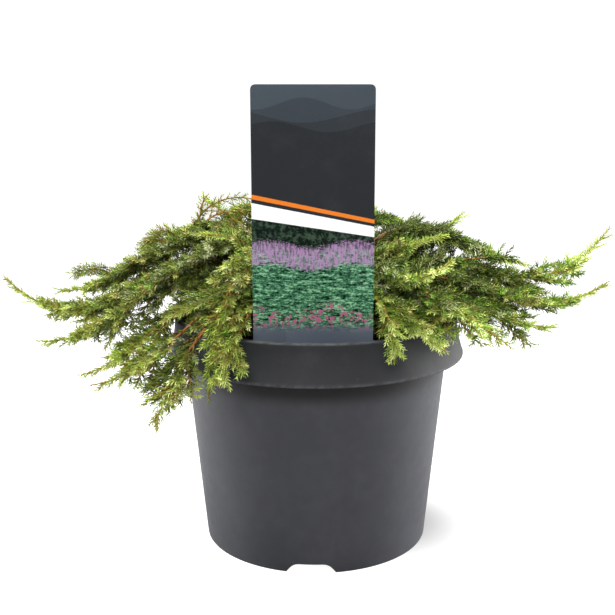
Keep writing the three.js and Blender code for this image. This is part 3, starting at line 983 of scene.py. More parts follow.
def scatter_recipe() -> NodeRecipe:
    """Builds the recipe that strews lumps over a surface.

    Returns:
        The recipe.
    """
    recipe = NodeRecipe("strewn_lumps", "GeometryNodeTree", {
        "Surface": "geometry", "Lump": "object", "Density": float, "Least": float, "Most": float,
        "Seed": int, "Material": "material",
    }, {"Lumps": "geometry"})
    source = recipe.source
    seed = {"Seed": source["Seed"]}
    strewn = recipe.node("GeometryNodeDistributePointsOnFaces", {
        "Mesh": source["Surface"], "Selection": recipe.math("GREATER_THAN", recipe.named("top"), 0.5), **seed,
    })
    recipe.feed(next(s for s in strewn.inputs if s.name == "Density" and s.enabled), source["Density"])
    turn = recipe.first("FunctionNodeRandomValue", {1: (tau,) * 3, **seed}, data_type="FLOAT_VECTOR")
    size = recipe.node("FunctionNodeRandomValue", {2: source["Least"], 3: source["Most"], **seed}).outputs[1]
    lumps = recipe.first("GeometryNodeInstanceOnPoints", {
        "Points": strewn.outputs["Points"],
        "Instance": recipe.node("GeometryNodeObjectInfo", {"Object": source["Lump"]}).outputs["Geometry"],
        "Rotation": recipe.first("FunctionNodeEulerToRotation", {0: turn}), "Scale": size,
    })
    real = recipe.first("GeometryNodeRealizeInstances", {0: lumps})
    dressed = recipe.first("GeometryNodeSetMaterial", {"Geometry": real, "Material": source["Material"]})
    recipe.give("Lumps", dressed)
    return recipe


@dataclass(frozen=True)
class Strewing:
    """One kind of lump on the compost: its shape, number, sizes, seed and finish."""

    name: str
    stretch: Place
    density: float
    least: float
    most: float
    seed: int
    earth: CompostEarth


STREWN = (
    Strewing("compost_crumbs", (0.9, 0.8, 0.7), 68000.0, 0.6, 1.9, 5,
             CompostEarth("crumb_earth", (34, 25, 19), (84, 62, 46), 330.0)),
    Strewing("bark_chips", (2.6, 1.0, 0.55), 9000.0, 0.6, 1.7, 8,
             CompostEarth("chip_bark", (70, 46, 30), (128, 92, 62), 260.0)),
)


@dataclass
class CompostFill:
    """The compost: a crumbly surface, with crumbs and a few bark chips on it."""

    top: float = 133.0
    top_radius: float = 84.2
    foot: float = 9.2
    foot_radius: float = 71.0
    settled: float = 0.9
    mound_scale: float = 0.035
    mound_height: float = 1.5
    mound_layer: float = 3.1
    crumb_scale: float = 0.24
    crumb_height: float = 0.9
    crumb_layer: float = 9.7
    grain_scale: float = 0.6
    skin: float = 0.7
    edge_start: float = 0.86
    edge_drop: float = 12.0
    rings: int = 46
    segments: int = 132
    lump_seed: int = 11
    lump_push: Pair = (0.75, 1.15)
    facing_up: float = 0.3

    def height(self, x: float, y: float) -> float:
        """Works out the surface: low mounds with a crumbly skin, lower at the wall.

        Args:
            x: The place along X.
            y: The place along Y.

        Returns:
            The height there.
        """
        wide, fine = self.mound_scale, self.crumb_scale
        mounds = noise.noise(Vector((x * wide, y * wide, self.mound_layer))) * self.mound_height
        crumbs = noise.noise(Vector((x * fine, y * fine, self.crumb_layer))) * self.crumb_height
        crumbs += abs(noise.noise(Vector((x, y, 0)) * self.grain_scale))
        edge = max(0.0, hypot(x, y) / self.top_radius - self.edge_start) * self.edge_drop
        return self.top - self.settled + mounds + crumbs * self.skin - edge

    def surface(self) -> Item:
        """Makes the closed body of the compost.

        Returns:
            The body, with its top faces marked.
        """
        shares = [1 - i / self.rings for i in range(self.rings)]
        profile = [(0.0, self.foot), (self.foot_radius, self.foot)]
        profile += [(self.top_radius * share, self.top) for share in shares] + [(0.0, self.top)]
        vertices, faces = turned(profile, self.segments)
        for place in vertices[1 + self.segments:]:
            place[2] = self.height(place[0], place[1])
        body = new_object("compost", vertices, faces, CompostEarth().material())
        marks = [float(face.normal.z > self.facing_up) for face in body.data.polygons]
        store(body.data, "top", "FACE", marks)
        body.data.shade_smooth()
        return body

    def lump(self, stretch: Place) -> Item:
        """Makes one small lump of 20 faces.

        Args:
            stretch: Its size along each axis.

        Returns:
            The lump, which is a millimetre or so large.
        """
        work = bmesh.new()
        bmesh.ops.create_icosphere(work, subdivisions=1, radius=1.0)
        dice = random.Random(self.lump_seed)
        for vertex in work.verts:
            push = dice.uniform(*self.lump_push)
            vertex.co = Vector([c * s * push * MM for c, s in zip(vertex.co, stretch)])
        mesh = bpy.data.meshes.new("lump")
        work.to_mesh(mesh)
        work.free()
        return placed("lump", mesh)

    def build(self) -> None:
        """Makes the compost and what lies on it."""
        body = self.surface()
        recipe = scatter_recipe()
        for kind in STREWN:
            host, lump = placed(kind.name, body.data.copy()), self.lump(kind.stretch)
            grow_by(host, recipe, {
                "Lump": lump, "Density": kind.density, "Least": kind.least, "Most": kind.most,
                "Seed": kind.seed, "Material": kind.earth.material(),
            })
            report(host, Slot.COMPOST)
            drop(lump)
        report(body, Slot.COMPOST, ["growing_medium"])


# The label


@dataclass
class PlantLabel:
    """A thin printed card with round upper corners, on a stake that runs into the compost."""

    centre: float = -1.65
    plane: float = -76.0
    width: float = 68.3
    thickness: float = 0.8
    top: float = 288.0
    corner: float = 3.12
    soft_corner: float = 1.2
    straight: float = 20.0
    shoulder: float = 142.0
    stake_top: float = 134.5
    stake_width: float = 26.0
    stake_tip_width: float = 8.0
    stake_taper: float = 14.0
    stake_foot: float = 87.0
    bevel: float = 0.14
    bevel_angle: float = 50.0
    sharp: float = 25.0

    def outline(self) -> list[Pair]:
        """Draws the card and its stake, seen from the front.

        Returns:
            The points across and up.
        """
        half, stake, tip = self.width / 2, self.stake_width / 2, self.stake_tip_width / 2
        neck = self.stake_foot + self.stake_taper
        low, high = self.shoulder + self.straight, self.top - self.straight
        lower = rounded([
            (-half, low), (-half, self.shoulder), (-stake, self.stake_top), (-stake, neck),
            (-tip, self.stake_foot), (tip, self.stake_foot), (stake, neck), (stake, self.stake_top),
            (half, self.shoulder), (half, low),
        ], self.soft_corner)
        upper = [(half, high), (half, self.top), (-half, self.top), (-half, high)]
        return lower + rounded(upper, self.corner, 8)

    def build(self) -> None:
        """Makes the card with eased edges and prints it."""
        outline = self.outline()
        count = len(outline)
        back, front = self.plane + self.thickness / 2, self.plane - self.thickness / 2
        places = [(self.centre + x, y, z) for y in (front, back) for x, z in outline]
        faces: list[Any] = [tuple(range(count)), tuple(range(count, 2 * count))[::-1]]
        faces += [(i + count, (i + 1) % count + count, (i + 1) % count, i) for i in range(count)]
        left, height = self.centre - self.width / 2, self.top - self.shoulder
        finish = PrintedCard(left, self.shoulder, self.width, height, self.plane)
        card = new_object("label_card", places, faces, finish.material())
        ease = card.modifiers.new("ease", "BEVEL")
        ease.width = self.bevel * MM
        ease.segments = 2
        ease.limit_method = "ANGLE"
        ease.angle_limit = radians(self.bevel_angle)
        made_plain(card)
        smooth_below(card, self.sharp)
        report(card, Slot.CARD, ["plant_label"])


# The growth rule, as in the part's source


@dataclass(frozen=True)
class Shoot:
    """One shoot: where it ends, how it gets there and where its foliage starts."""

    name: str
    ring: int
    azimuth: float
    reach: float
    heights: Place
    bare: float = 0.0
    hang: float = 0.0
    spread: float = 1.0
    young: bool = False

    @property
    def side(self) -> str:
        """Returns the side of the crown that the shoot belongs to."""
        return self.name.split("_")[0]

    @property
    def number(self) -> int:
        """Returns the shoot's number."""
        return SHOOTS.index(self)

    @property
    def slot(self) -> Slot:
        """Returns the material slot of the shoot's foliage."""
        if self.young:
            return Slot.YOUNG
        return Slot.DEEP if self.bare else Slot.MIDDLE


SHOOTS = (
    Shoot("left_1", 2, 165, 190, (193, 171, 153), bare=0.3),
    Shoot("left_2", 1, 180, 203, (180, 154, 168), bare=0.28),
    Shoot("left_3", 3, 191, 176, (188, 157, 135), bare=0.32),
    Shoot("left_4", 0, 203, 153, (172, 147, 121), bare=0.34),
    Shoot("left_5", 2, 214, 155, (168, 141, 122), bare=0.34),
    Shoot("left_6", 1, 226, 134, (166, 134, 102), bare=0.36, hang=0.6),
    Shoot("left_7", 3, 233, 106, (182, 163, 115), bare=0.34, hang=1.0, young=True),
    Shoot("left_8", 0, 243, 118, (170, 147, 130), bare=0.36, hang=0.8, young=True),
    Shoot("left_9", 4, 154, 134, (194, 198, 179), spread=0.8),
    Shoot("left_10", 5, 130, 118, (200, 208, 184), spread=0.75),
    Shoot("left_11", 3, 148, 92, (182, 200, 216), spread=0.6),
    Shoot("right_1", 2, 7, 198, (181, 167, 196), bare=0.28),
    Shoot("right_2", 1, 352, 184, (173, 160, 169), bare=0.3),
    Shoot("right_3", 0, 341, 154, (168, 157, 147), bare=0.34),
    Shoot("right_4", 2, 328, 135, (169, 162, 141), bare=0.38, young=True),
    Shoot("right_5", 1, 309, 117, (166, 158, 143), bare=0.4, young=True),
    Shoot("right_6", 3, 296.5, 103, (174, 161, 139), bare=0.36, hang=0.8, young=True),
    Shoot("right_7", 4, 318, 106, (175, 176, 189), spread=0.8),
    Shoot("right_8", 3, 17, 155, (198, 189, 171), bare=0.34),
    Shoot("right_9", 5, 35, 129, (186, 189, 202), spread=0.8),
    Shoot("right_10", 4, 52, 130, (200, 199, 187), spread=0.7),
    Shoot("right_11", 5, 64, 100, (186, 200, 206), spread=0.6),
    Shoot("back_1", 0, 28, 158, (170, 160, 150), bare=0.34),
    Shoot("back_2", 1, 49, 166, (174, 161, 145), bare=0.32),
    Shoot("back_3", 2, 72, 172, (180, 164, 153), bare=0.32),
    Shoot("back_4", 0, 93, 168, (175, 160, 140), bare=0.32),
    Shoot("back_5", 2, 114, 174, (182, 166, 156), bare=0.32),
    Shoot("back_6", 0, 137, 164, (172, 158, 142), bare=0.32),
    Shoot("middle_1", 5, 197, 76, (183, 195, 200), spread=0.6),
    Shoot("middle_2", 4, 100, 92, (190, 200, 204), spread=0.6),
    Shoot("middle_3", 4, 352, 84, (180, 190, 197), spread=0.6),
    Shoot("middle_4", 5, 262, 58, (174, 184, 192), spread=0.6),
    Shoot("middle_5", 4, 222, 78, (178, 186, 184), spread=0.7),
    Shoot("middle_6", 5, 290, 64, (174, 183, 187), spread=0.7),
)


@dataclass(frozen=True)
class Arch:
    """A thin airy twig that arches out of a shoot's foliage."""

    name: str
    places: tuple[Place, ...]
    leafy: bool = False

    def line(self, count: int) -> Array:
        """Returns points on the smooth line through its places."""
        marks = np.linspace(0, 1, len(self.places))
        fit = np.polyfit(marks, np.array(self.places), len(self.places) - 1)
        shares = np.linspace(0, 1, count)[:, None]
        return sum(part * shares ** (len(fit) - 1 - i) for i, part in enumerate(fit))


ARCHES = (
    Arch("left_9", ((-84, 34, 192), (-76, 34, 208), (-60, 35, 217), (-40, 36, 216))),
    Arch("left_9", ((-82, 34, 196), (-78, 33, 206), (-76, 32, 214), (-72, 30, 220))),
    Arch("left_9", ((-74, 35, 202), (-60, 37, 208), (-44, 38, 206), (-32, 39, 196))),
    Arch("left_9", ((-80, 36, 194), (-66, 38, 201), (-50, 40, 200), (-38, 42, 192))),
    Arch("left_1", ((-88, 26, 180), (-98, 28, 196), (-110, 30, 192), (-116, 31, 183)), True),
    Arch("left_1", ((-92, 25, 178), (-102, 27, 190), (-110, 28, 188), (-114, 29, 181)), True),
    Arch("left_1", ((-128, 34, 163), (-142, 38, 167), (-157, 41, 168), (-171, 45, 161)), True),
)


@dataclass(frozen=True)
class Growth:
    """The measures of the growth rule."""

    clearance: float = 0.3
    soil_top: float = 133.0
    rings: tuple[float, ...] = (139, 145, 151, 157, 162, 165.5)
    stem_height: float = 36.0
    lean: Pair = (0.08, 0.12)
    foot_radius: float = 11.0
    neck_radius: float = 7.2
    neck_height: float = 8.0
    top_radius: float = 5.6
    bough_root: float = 2.3
    bough_tip: float = 1.6
    twig_root: float = 1.5
    twig_tip: float = 0.7
    fine_step: float = 4.8
    first_station: float = 4.0
    forward: Pair = (43.0, 9.0)
    roll: Pair = (6.0, 32.0)
    twist: float = 50.0
    longest: float = 50.0
    shortest: float = 11.0
    length_spread: float = 0.15
    near_share: float = 0.62
    swell_rate: float = 1.3
    far_loss: float = 0.8
    far_power: float = 1.5
    bend: float = 0.16
    lift: float = 0.07
    tip_length: float = 26.0
    tip_overhang: float = 4.0
    seed_step: int = 1000
    lengths: tuple[float, ...] = (1.0, 0.82, 0.66, 0.5, 0.38)
    width_share: float = 0.26
    least_width: float = 4.2
    blade_start: float = -0.3
    tooth_first: float = 0.34
    tooth_step: float = 0.21
    tooth_narrowing: float = 0.86
    tooth_edge: float = 0.05
    tooth_shoulder: float = 0.45
    root_clear: float = 3.0

    @property
    def stem_foot(self) -> float:
        """Returns the height of the stem's flat foot."""
        return self.soil_top + self.clearance

    def stem_radius(self, height: Array | float) -> Array:
        """Works out the stem's radius: flared at its foot, then tapering.

        Args:
            height: One height or several.

        Returns:
            The radius at each height.
        """
        above = np.asarray(height, float) - self.stem_foot
        flare = 1 - above / self.neck_height
        low = self.neck_radius + (self.foot_radius - self.neck_radius) * flare**2
        share = (above - self.neck_height) / (self.stem_height - self.neck_height)
        high = self.neck_radius + (self.top_radius - self.neck_radius) * share
        return np.where(above < self.neck_height, low, high)

    def stem_centre(self, height: Array | float) -> Array:
        """Returns the leaning stem's centre at one height, or a row for each of several."""
        above = np.asarray(height, float) - self.stem_foot
        return np.stack([self.lean[0] * above, self.lean[1] * above, above + self.stem_foot], -1)


RULE = Growth()


class Draw:
    """The seeded draw of the part's source, number by number."""

    def __init__(self, seed: int) -> None:
        """Starts the draw at a seed."""
        self.state = seed & MASK

    def __call__(self) -> float:
        """Returns the next number from 0 to 1."""
        self.state = (self.state + 0x6D2B79F5) & MASK
        mixed = ((self.state ^ (self.state >> 15)) * (self.state | 1)) & MASK
        mixed ^= (mixed + (((mixed ^ (mixed >> 7)) * (mixed | 61)) & MASK)) & MASK
        return (mixed ^ (mixed >> 14)) / 2**32

    def around(self, middle: float, swing: float) -> float:
        """Returns a number at most a swing away from a middle."""
        return middle + swing * (2 * self() - 1)


def blade_width(length: float) -> float:
    """Returns the half width of the blade that a side shoot of a length fills."""
    return max(RULE.least_width, RULE.width_share * length)


def unit(vector: Array) -> Array:
    """Returns a vector, or each row of several, at length 1."""
    return vector / np.linalg.norm(vector, axis=-1, keepdims=True)


def turned_about(vector: Array, axis: Array, angle: float) -> Array:
    """Returns a vector turned about an axis of length 1 by an angle in radians."""
    along = axis * (vector @ axis) * (1 - cos(angle))
    return vector * cos(angle) + np.cross(axis, vector) * sin(angle) + along


class ShootCurve:
    """The line of a shoot, or of a part of it."""

    def __init__(self, shoot: Shoot, start: float = 0.0, end: float = 1.0) -> None:
        """Takes a part of a shoot.

        Args:
            shoot: The shoot.
            start: Where the part starts, as a share of the shoot.
            end: Where it ends.
        """
        self.shoot, self.start, self.end = shoot, start, end
        self.azimuth = radians(shoot.azimuth)
        self.foot = RULE.rings[shoot.ring]
        third, two_thirds, tip = shoot.heights
        rise = -5.5 * self.foot + 9 * third - 4.5 * two_thirds + tip
        slope = atan2(rise, shoot.reach * (1 + shoot.hang))
        limb = RULE.bough_root if shoot.bare else RULE.twig_root
        edge = self.foot + limb * cos(slope)
        self.foot_radius = float(RULE.stem_radius(edge)) + RULE.clearance + limb * sin(slope)
        self.centre = RULE.stem_centre(edge)

    def points(self, shares: Array | float) -> Array:
        """Works out points on the line.

        Args:
            shares: Where they are, from 0 at its start to 1 at its end.

        Returns:
            A row for each point.
        """
        t = self.start + (self.end - self.start) * np.asarray(shares, float)
        out = 1 - (1 - t) ** (1 + self.shoot.hang)
        radius = self.foot_radius + (self.shoot.reach - RULE.tip_overhang - self.foot_radius) * out
        a, (b, c, d) = self.foot, self.shoot.heights
        height = (
            a * (1 - 3 * t) * (2 - 3 * t) * (1 - t) / 2 + b * 9 * t * (1 - t) * (2 - 3 * t) / 2
            + c * 9 * t * (1 - t) * (3 * t - 1) / 2 + d * t * (3 * t - 1) * (3 * t - 2) / 2
        )
        return np.stack([
            radius * cos(self.azimuth) + self.centre[0] * (1 - t),
            radius * sin(self.azimuth) + self.centre[1] * (1 - t), height,
        ], -1)

    def tangents(self, shares: Array | float) -> Array:
        """Returns the direction of growth at each share of the line."""
        step = 1e-4
        shares = np.asarray(shares, float)
        return unit(self.points(np.minimum(shares + step, 1)) - self.points(np.maximum(shares - step, 0)))

    def frame(self, share: float) -> tuple[Array, Array, Array, Array]:
        """Returns the point, the direction of growth, the level side and the upper side at a share."""
        tangent = self.tangents(share)
        level = np.array([-sin(self.azimuth), cos(self.azimuth), 0.0])
        up = unit(np.cross(tangent, level))
        return self.points(share), tangent, unit(np.cross(up, tangent)), up

    def length(self) -> float:
        """Returns the length of the line."""
        path = self.points(np.linspace(0, 1, 201))
        return float(np.linalg.norm(np.diff(path, axis=0), axis=1).sum())


def joint_share(shoot: Shoot) -> float:
    """Returns the gap between a bough's tip and its foliage's stem, as a share of the shoot."""
    return RULE.clearance / ShootCurve(shoot).length()


def bough_curve(shoot: Shoot) -> ShootCurve:
    """Returns the line of a shoot's bough."""
    return ShootCurve(shoot, 0.0, shoot.bare - joint_share(shoot))


def foliage_curve(shoot: Shoot) -> ShootCurve:
    """Returns the line of a shoot's foliage."""
    return ShootCurve(shoot, shoot.bare + joint_share(shoot) if shoot.bare else 0.0, 1.0)


@dataclass
class Room:
    """Says whether a place is nearer to its own shoot than to any other, and clear of what is hard."""

    pot: NurseryPot
    label: PlantLabel
    cell_margin: float = 1.3
    limb_gap: float = 0.9
    hard_gap: float = 1.4
    guard: float = 3.0
    twig_points: int = 23
    bough_points: int = 13

    def __post_init__(self) -> None:
        """Lays out the lines of all the shoots."""
        along, up = np.linspace(0, 1, self.twig_points), np.linspace(0, 1, self.bough_points)
        self.twigs = self.segments([foliage_curve(shoot).points(along) for shoot in SHOOTS])
        self.boughs = self.segments([bough_curve(shoot).points(up) for shoot in SHOOTS if shoot.bare])

    @staticmethod
    def segments(paths: Sequence[Array]) -> tuple[Array, Array, list[int]]:
        """Returns the starts and steps of all segments of some paths, and where each path begins."""
        starts = np.concatenate([path[:-1] for path in paths])
        steps = np.concatenate([np.diff(path, axis=0) for path in paths])
        first = np.cumsum([0] + [len(path) - 1 for path in paths[:-1]])
        return starts, steps, list(first)

    @staticmethod
    def distances(places: Array, paths: tuple[Array, Array, list[int]]) -> Array:
        """Measures how far places are from paths.

        Args:
            places: A row for each place.
            paths: The segments of the paths.

        Returns:
            A row for each place with its distance to each path.
        """
        starts, steps, first = paths
        gaps = places[:, None] - starts[None]
        shares = np.clip((gaps * steps).sum(2) / (steps * steps).sum(1), 0, 1)
        far = np.linalg.norm(gaps - steps * shares[..., None], axis=2)
        return np.minimum.reduceat(far, first, axis=1)

    def clear_of_hard(self, places: Array, extra: float = 0.0, nearer: float = 0.0) -> Array:
        """Tests places against the pot, the compost, the label and the stem.

        Args:
            places: A row for each place.
            extra: Room that is kept on top of the rule's own.
            nearer: How much nearer to the label's sides than the rule's own the places may be.

        Returns:
            True for each place that is clear.
        """
        gap, guard = self.hard_gap + extra, self.guard - nearer
        x, y, z = places.T
        radius = np.hypot(x, y)
        pot = (z > self.pot.height + gap) | (radius > self.pot.skirt_radius + gap)
        pot |= (radius < self.pot.throat_radius - gap) & (z > RULE.soil_top + gap)
        card = self.label
        label = (np.abs(x - card.centre) > card.width / 2 + guard) | (z > card.top + guard)
        label |= y > card.plane + card.thickness + gap
        centre = RULE.stem_centre(z)
        off = np.hypot(x - centre[:, 0], y - centre[:, 1])
        stem = (z > RULE.stem_foot + RULE.stem_height + gap) | (off > RULE.stem_radius(z) + gap)
        return pot & label & stem

    def clear(self, places: Array, owner: int, knit: float = 0.0) -> bool:
        """Tests a spray's places.

        Args:
            places: A row for each place.
            owner: The number of the shoot that it belongs to.
            knit: How far the spray may reach in among its neighbours' sprays.

        Returns:
            Whether all of them are clear.
        """
        if not self.clear_of_hard(places).all():
            return False
        limb = self.limb_gap if knit == 0 else 0.0
        if (self.distances(places, self.boughs) < RULE.bough_root + limb).any():
            return False
        far = self.distances(places, self.twigs)
        own = far[:, owner].copy()
        far[:, owner] = np.inf
        other = far.min(axis=1)
        apart = (other > own + self.cell_margin - knit).all()
        return bool(apart and (other > RULE.twig_root + limb).all())


class Kind(Enum):
    """The kinds of fine twig."""

    MAIN = ((1.2, 1.2), (1.1, 1.1), 3.0, Wood.OLD)
    BARER_MAIN = ((1.2, 1.2), (1.1, 1.1), 5.0, Wood.OLD)
    LEADER = ((1.0, 0.85), (1.0, 0.8), 1.5, Wood.RUSSET)
    SPRAY = ((1.25, 1.2), (1.0, 1.0), 2.1, Wood.RUSSET)
    SPRAY_TIP = ((1.15, 0.85), (1.0, 0.7), 1.4, Wood.GREEN)
    FINEST = ((1.05, 0.8), (1.0, 0.75), 1.36, Wood.GREEN)
    TUFT = ((0.95, 0.75), (1.0, 0.75), 1.2, Wood.GREEN)
    AIRY = ((0.8, 0.7), (0.8, 0.7), 2.4, Wood.RUSSET)
    AIRY_TUFT = ((0.95, 0.8), (0.9, 0.7), 1.2, Wood.GREEN)

    def __init__(self, sizes: Pair, opens: Pair, gap: float, wood: Wood) -> None:
        """Takes the needles' size and spread at both ends, the gap between their whorls, and the wood."""
        self.sizes, self.opens, self.gap, self.wood = sizes, opens, gap, wood


@dataclass
class FineTwig:
    """One fine twig: its line, its thickness at both ends, its green and its kind."""

    points: Array
    radii: Pair
    tint: Tint
    kind: Kind

    def tints(self) -> Array:
        """Returns the number of the green at each point: the finest twigs are brighter to their tips."""
        tip = RIPER.get(self.tint, self.tint) if self.kind is Kind.FINEST else self.tint
        return np.linspace(GREENS.index(self.tint), GREENS.index(tip), len(self.points))

    def length(self) -> float:
        """Returns the length of its line."""
        return float(np.linalg.norm(np.diff(self.points, axis=0), axis=1).sum())


@dataclass
class SideShoot:
    """A side shoot's place: it leaves the twig forwards, bends on and lifts a little."""

    root: Array
    along: Array
    across: Array
    normal: Array
    bend: float
    lift: float
    length: float = 0.0

    def places(self, flat: Array) -> Array:
        """Places flat points on the shoot's bent plane.

        Args:
            flat: A row of distance along and across for each point.

        Returns:
            A row for each point.
        """
        x, y = flat[:, :1], flat[:, 1:]
        curve = np.maximum(x, 0) ** 2 / self.length
        across = self.across * (y + self.bend * curve)
        return self.root + self.along * x + across + self.normal * self.lift * curve

    def line(self, shares: Array) -> Array:
        """Returns the middle line at some shares of the length."""
        return self.places(np.stack([shares * self.length, shares * 0], -1))


def table(**values: Any) -> Any:
    """Returns a dataclass field that holds a value for each name."""
    return field(default_factory=lambda: values)


@dataclass(frozen=True)
class Row:
    """One row of sprays along a limb: its seed, its roll's middle and swing, and its highest roll."""

    seed: int = 0
    shift: int = 0
    roll: Pair = RULE.roll
    top: float = 4.0
    root_clear: float = RULE.root_clear


def leaving(ahead: Array, side: Array, up: Array, forward: float, roll: float) -> Array:
    """Returns the direction that leaves a limb at an angle to it, rolled up from its level side."""
    outward = side * cos(roll) + up * sin(roll)
    return unit(ahead * cos(forward) + outward * sin(forward))


def sprig(root: Array, way: Array, length: float, ahead: Array, bend: float) -> Array:
    """Returns the three points of a short twig that bends on ahead."""
    steps = np.linspace(0, 1, 3)[:, None]
    return root + way * length * steps + ahead * bend * length * steps**2


@dataclass
class Crown:
    """Grows the fine twigs of every shoot by the source's rule and deals out the greens.

    Lengths are in millimetres and angles in degrees. A pair holds a middle and a swing, a least and a most,
    or the values at a root and at a tip. Names that start with sub are about the finest shoots.
    """

    room: Room
    twist_share: float = 0.5
    length_swing: Pair = (0.8, 1.2)
    sub_first: float = 2.6
    sub_last: float = 2.5
    sub_gap: float = 2.9
    sub_forward: Pair = (50.0, 12.0)
    sub_roll: Pair = (-60.0, 22.0)
    sub_least: float = 4.4
    sub_most: float = 10.5
    sub_width: float = 1.2
    sub_swell: Pair = (0.55, 1.6)
    sub_taper: Pair = (0.6, 1.7)
    sub_reach: Pair = (0.75, 1.2)
    sub_cap: Pair = (0.8, 1.1)
    sub_bend: float = 0.1
    sub_look: float = 0.02
    sub_radii: Pair = (0.3, 0.2)
    sub_freshness: float = 0.16
    sub_seed: int = 40
    seed_stride: int = 7919
    knit: float = 9.0
    knit_share: float = 0.5
    upper: Row = Row()
    between: Row = Row(500, 1, (-26.0, 34.0))
    on_bough: Row = Row(700, 0, (0.0, 75.0), 26.0, 6.5)
    bough_first: float = 0.06
    bough_step: float = 0.35
    bough_freshness: float = 0.12
    spray_least: float = 5.5
    spray_step: float = 5.0
    spray_radius: Pair = (0.45, 0.012)
    spray_taper: float = 0.7
    spray_tip: float = 0.24
    spray_fresher: float = 0.14
    spray_swing: float = 0.05
    needle_room: float = 0.4
    label_room: float = 1.3
    airy: tuple[str, ...] = ("left_11", "right_9")
    slim: dict[str, float] = table(left_11=0.6, right_9=0.6, left_1=0.9, left_9=0.75, left_10=0.8,
                                   right_8=0.9, right_10=0.7)
    tops: dict[str, float] = table(left_1=-4.0, left_9=-10.0, left_10=-14.0, right_1=40.0, right_8=-16.0,
                                   right_9=-6.0, right_10=-20.0, right_11=-12.0, back_1=-6.0)
    fans: tuple[str, ...] = ("right_1", "right_2", "right_3", "right_4")
    fan_start: float = 0.42
    fan_loss: float = 0.24
    fan_sub: float = 0.62
    finger_start: float = 0.32
    finger_end: float = 0.85
    finger_loss: float = 0.64
    main_back: Pair = (2.2, 3.4)
    main_least: int = 12
    main_step: float = 5.0
    main_end: float = 1.5
    main_wander: float = 0.5
    main_old: float = 0.55
    main_taper: float = 0.6
    main_tip: float = 0.3
    bark_from: Pair = (0.12, 0.42)
    bark_shown: dict[str, Pair] = table(left=(0.34, 0.5), right=(0.0, 0.12),
                                        back=(0.1, 0.2), middle=(0.1, 0.2))
    hanging_stem: str = "left_7"
    hanging_bark: Pair = (0.05, 0.72)
    hanging_shade: float = 0.1
    tuft_first: float = 3.0
    tuft_last: float = 2.0
    tuft_gap: float = 3.5
    tuft_most: float = 8.0
    tuft_tip: float = 4.4
    tuft_swell: float = 0.3
    tuft_rise: float = 0.34
    tuft_forward: Pair = (34.0, 54.0)
    tuft_rolls: Pair = (-45.0, 20.0)
    tuft_bend: float = 0.15
    tuft_radii: Pair = (0.35, 0.2)
    leafy: tuple[str, ...] = ("left_8", "right_6", "right_5")
    leafy_seed: int = 900
    leafy_rolls: Pair = (10.0, 85.0)
    arch_points: int = 12
    arch_radii: Pair = (0.75, 0.35)
    arch_first: float = 3.0
    arch_last: float = 1.0
    arch_gap: Pair = (2.2, 3.2)
    arch_way: Pair = (0.8, 0.6)
    arch_sway: float = 0.5
    arch_tuft: Pair = (3.0, 5.0)
    arch_tuft_radii: Pair = (0.25, 0.18)
    leafy_longer: float = 1.3
    leafy_closer: float = 0.7
    tint_steps: tuple[float, ...] = (0.24, 0.42, 0.54, 0.76, 1.04)
    tint_spread: float = 0.19
    olive_fresh: float = 0.68
    root_shade: float = 0.14
    shoot_spread: float = 0.05
    shoot_waves: float = 2.4
    fresh_root: float = 0.15
    fresh_rise: float = 0.8
    young_rise: float = 0.12
    right_rise: float = 0.55
    right_turn: float = 0.52
    silver: float = 0.16
    olive: dict[str, float] = table(left=0.7, right=0.25, back=0.45, middle=0.4)
    grass: dict[str, float] = table(left=0.08, right=0.6, back=0.3, middle=0.3)
    grass_fade: Pair = (2.4, 2.2)

    def side_length(self, share: float, fan: bool = False) -> float:
        """Works out a side shoot's length: longer to a third of the twig, then shorter to its tip.

        Args:
            share: Where on the twig the side shoot leaves.
            fan: Whether the twig ends in an open fan instead of a narrow finger.

        Returns:
            The length before the draw.
        """
        near = min(1.0, RULE.near_share + RULE.swell_rate * share)
        rule = max(RULE.shortest, RULE.longest * near * (1 - RULE.far_loss * share**RULE.far_power))
        beyond = min(1.0, max(0.0, (share - self.finger_start) / (self.finger_end - self.finger_start)))
        return rule * (1 - (self.fan_loss if fan else self.finger_loss) * beyond)

    def side_shoot(self, curve: ShootCurve, share: float, station: int, draw: Draw, row: Row) -> SideShoot:
        """Places a side shoot on its twig.

        Args:
            curve: The twig's line.
            share: Where on it the shoot leaves.
            station: The station's number, which gives the hand.
            draw: The station's own draw.
            row: The row of sprays that it belongs to.

        Returns:
            The shoot, with its length still open.
        """
        point, tangent, side, up = curve.frame(share)
        forward = radians(draw.around(*RULE.forward))
        roll = radians(min(draw.around(*row.roll), self.tops.get(curve.shoot.name, row.top)))
        hand = 1 if (station + row.shift) % 2 == 0 else -1
        along = leaving(tangent, side * hand, up, forward, roll)
        twist = radians(draw.around(0.0, RULE.twist * self.twist_share))
        across = turned_about(unit(tangent - along * (tangent @ along)), along, twist)
        return SideShoot(point, along, across, np.cross(along, across), RULE.bend, -hand * RULE.lift)

    def outline(self, length: float, root_clear: float) -> Array:
        """Draws the toothed blade that a side shoot fills.

        Args:
            length: The blade's length.
            root_clear: How far from its root the tests start.

        Returns:
            Its corners and edge middles beyond the root.
        """
        width = blade_width(length)

        def tooth(place: int) -> list[Pair]:
            """Returns the two corners of one tooth."""
            hand = 1 if place % 2 == 0 else -1
            far = length * (RULE.tooth_first + RULE.tooth_step * place)
            wide = width * RULE.tooth_narrowing**place
            return [(far, hand * wide), (far + RULE.tooth_edge * length, hand * wide * RULE.tooth_shoulder)]

        left = [*tooth(0), *tooth(2)]
        corners = np.array([(RULE.blade_start, 0.0), *tooth(1), (length, 0.0), *left[::-1]])
        middles = (corners + np.roll(corners, -1, axis=0)) / 2
        flat = np.concatenate([corners, middles])
        return flat[flat[:, 0] > root_clear]

